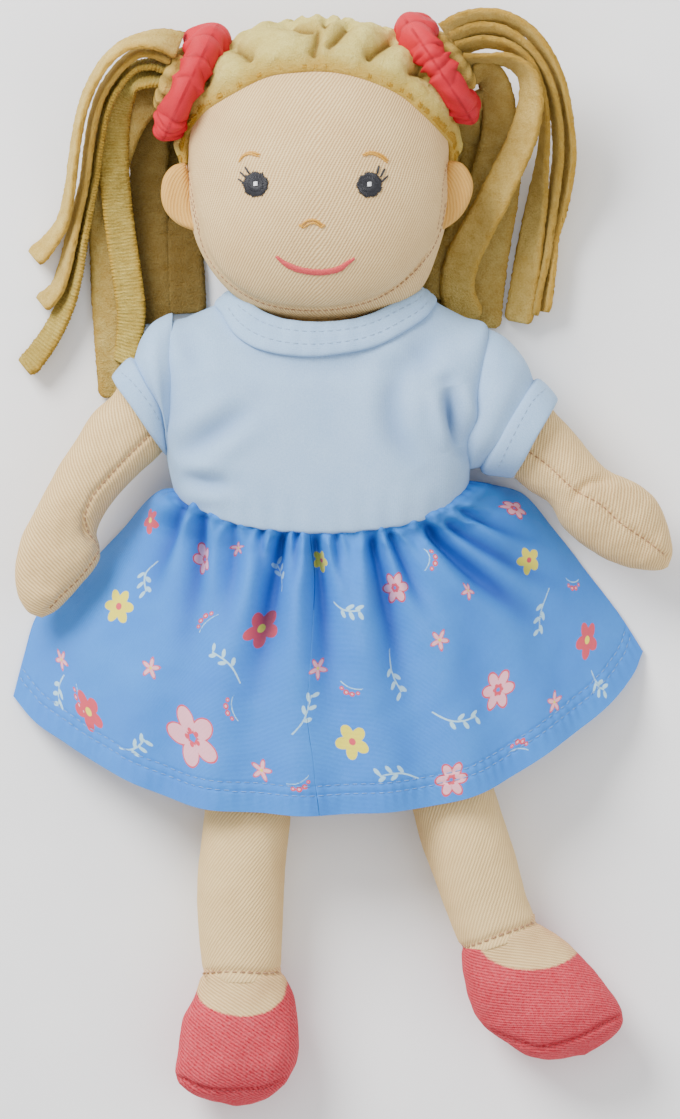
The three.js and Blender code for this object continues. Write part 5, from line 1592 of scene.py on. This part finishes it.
def turned(cloth, centre, degrees):
    away = cloth - centre
    c, s = math.cos(math.radians(degrees)), math.sin(math.radians(degrees))
    return np.stack([away[..., 0] * c + away[..., 1] * s, -away[..., 0] * s + away[..., 1] * c], -1)


def oval(local, x, y, long, wide, degrees=0.0):
    spot = turned(local, np.array([x, y]), degrees)
    return (1 - np.sqrt((spot[..., 0] / long) ** 2 + (spot[..., 1] / wide) ** 2)) * min(long, wide)


def petals(local, radius, count, long, wide):
    best = np.full(local.shape[:-1], -99.0)
    for turn in range(count):
        a = 2 * math.pi * turn / count
        petal = oval(local, radius * math.cos(a), radius * math.sin(a), long, wide, math.degrees(a))
        best = np.maximum(best, petal)
    return best


def printInks(grid, cloth):
    layers = {key: np.full(grid.shape[:2], -9.0) for key in printColours}

    def lay(key, value):
        layers[key] = np.maximum(layers[key], value)

    # Each motif of a kind that falls on this cloth, with the cloth seen from the motif's own middle
    def fallen(kind):
        for place, turn, *rest in printed[kind]:
            target = traced(place)[0]
            gap = np.hypot(grid[..., 0] - target[0], grid[..., 1] - target[1])
            if gap.min() < 8:
                yield turned(cloth, cloth.reshape(-1, 2)[gap.argmin()], turn), rest

    for local, (size, count, hue) in fallen("blooms"):
        outer = petals(local, size * 0.58, count, size * 0.44, size * (0.34 if count == 5 else 0.29))
        if hue == "yellow":
            lay("yellowInk", outer)
            lay("dotInk", oval(local, 0, 0, size * 0.2, size * 0.2))
        else:
            lay("redInk", outer + (0.0 if hue == "red" else 0.15))
            if hue == "pink":
                lay("pinkInk", outer - 0.22)
                lay("dotInk", petals(local, size * 0.24, count, size * 0.09, size * 0.09))
            else:
                lay("yellowInk", oval(local, 0, 0, size * 0.22, size * 0.22))
    for local, (size,) in fallen("stars"):
        star = petals(local, size * 0.5, 5, size * 0.5, size * 0.21)
        lay("redInk", star + 0.08)
        lay("pinkInk", star - 0.12)
        lay("yellowInk", oval(local, 0, 0, size * 0.14, size * 0.14))
    for local, (size,) in fallen("sprigs"):
        bow = 0.16 * size * np.cos(local[..., 0] / size * 2.2)
        inside = np.abs(local[..., 0]) < size * 0.75
        lay("sprigInk", np.where(inside, 0.24 - np.abs(local[..., 1] - bow), -9))
        for step, way in ((-0.1, 1), (0.12, -1), (0.34, 1), (0.56, -1), (0.75, 1)):
            y = 0.16 * size * math.cos(step * 2.2)
            lay("sprigInk", oval(local, step * size + 0.8, y + way * 1.25, 1.35, 0.62, way * 40))
    for local, _ in fallen("berries"):
        for x, y, size in ((-2.6, 0.2, 0.75), (-0.8, 0.9, 0.95), (1.2, 0.8, 0.9), (2.9, -0.1, 0.7)):
            lay("redInk", oval(local, x, y, size, size * 0.85))
            lay("pinkInk", oval(local, x, y, size * 0.5, size * 0.4))
        stem = 0.16 - np.abs(local[..., 1] + 0.8 + 0.06 * local[..., 0] ** 2)
        lay("sprigInk", np.where(np.abs(local[..., 0]) < 4, stem, -9))
    return layers


# Its last colour is painted shade, multiplied in where the depth ink is laid
finishes["skirt"] = weaveMaterial("skirtCotton", paint(52, 140, 232), paint(26, 104, 208), 0.36, 0.2,
                                  0.35, paint(84, 118, 176), printColours.items())


def buildSkirtFront():
    even = crispShares(skirt["columns"])
    cut = int(np.searchsorted(even, skirt["split"]))
    near = np.array([-1, 0, 1]) * skirt["rim"] + skirt["split"]
    whole, toHem, shade = frontGrid(np.r_[even[:cut], near, even[cut:]])
    cloth = clothCoordinates(whole)
    layers = {**printInks(whole, cloth), "depth": shade}
    anchor = tuple(onBench([skirt["pushedUp"]])[0])
    for side, columns in (("right", slice(0, cut + 2)), ("left", slice(cut + 1, None))):
        grid = whole[:, columns]
        inks = {key: value[:, columns] for key, value in layers.items()}
        front = clothSheet("skirtFrontCotton_" + side, grid, skirt["thickness"], cloth[:, columns], inks)
        dress(front, "skirt", "trunk", ["skirt_front_" + side])
        declareSheet(front, grid)
        stitches = []
        for reach in skirt["hemRows"]:
            rows = np.abs(toHem[:, columns] - reach).argmin(0)
            line = np.array([grid[rows[c], c] for c in range(2, grid.shape[1] - 2)])
            stitches += stitchRow(line + [0, 0, 0.12], skirt["hemStitch"])
        hem = dress(joinParts("hemStitches_" + side, stitches), "skirtSeam", "trunk")
        for piece in (front, hem):
            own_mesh(piece)


def buildSkirtBack():
    shares, down = crispShares(skirt["backColumns"]), crispShares(skirt["backRows"])
    top, plan = skirtPlan("back", shares, down)
    u, v = shares[None, :], down[:, None]
    height = skirt["backWave"] * np.sin(2 * math.pi * 9 * u + 2 * v) * ease(0.1, 0.5, v)
    height = skirt["backHeight"] + height
    height = mix(height, top[None, :, 2], ease(0.12, 0.0, v))
    edge = skirtLift(2 * u - 1, v)[0] - 0.7
    height = mix(height, np.maximum(edge, height), bell(np.minimum(u, 1 - u), 0.05))
    grid = np.concatenate([plan, height[..., None]], -1)
    cloth = clothCoordinates(grid)
    back = clothSheet("skirtBackCotton", grid, -skirt["backThickness"], cloth, printInks(grid, cloth))
    dress(back, "skirt", "trunk", ["skirt_back"])
    declareSheet(back, grid)


buildSkirtFront()
buildSkirtBack()
print("skirt is made")

# Floor and soft studio light: place and size of each lamp in metres, and its power
room = {
    "floor": 2000.0, "world": 0.85, "aim": (0, 0, 0.02),
    "lights": {"keyLight": ((-0.7, 0.85, 0.9), 0.75, 34.0), "fillLight": ((0.75, -0.2, 1.0), 1.1, 4.0),
               "topLight": ((0.0, 0.1, 1.7), 1.4, 4.0)},
}


def buildRoom():
    corners = np.array([(-1, -1, 0), (1, -1, 0), (1, 1, 0), (-1, 1, 0)], float) * room["floor"]
    floor = makeMesh("floor", corners, [(0, 1, 2, 3)], np.zeros((4, 2)))
    r = Recipe("paleFloor")
    grain = r.noise(30.0, 2.0, 0.5)
    colour = r.blend(r.spread(grain, 0.3, 0.7), paint(250, 250, 250), paint(246, 246, 247))
    floor.data.materials.append(r.finish(colour, grain, 0.01, 0.9, 0.0, (1, 1, 1, 1), 0.1))
    for name, (place, size, power) in room["lights"].items():
        data = bpy.data.lights.new(name, "AREA")
        data.shape = "DISK"
        data.size = size
        data.energy = power
        lamp = bpy.data.objects.new(name, data)
        lamp.location = place
        lamp.rotation_euler = (Vector(room["aim"]) - Vector(place)).to_track_quat("-Z", "Y").to_euler()
        bpy.context.scene.collection.objects.link(lamp)
    world = bpy.data.worlds.new("paleRoom")
    world.use_nodes = True
    background = world.node_tree.nodes["Background"]
    background.inputs["Color"].default_value = (1.0, 1.0, 1.0, 1.0)
    background.inputs["Strength"].default_value = room["world"]
    bpy.context.scene.world = world


buildRoom()
print("room is made")
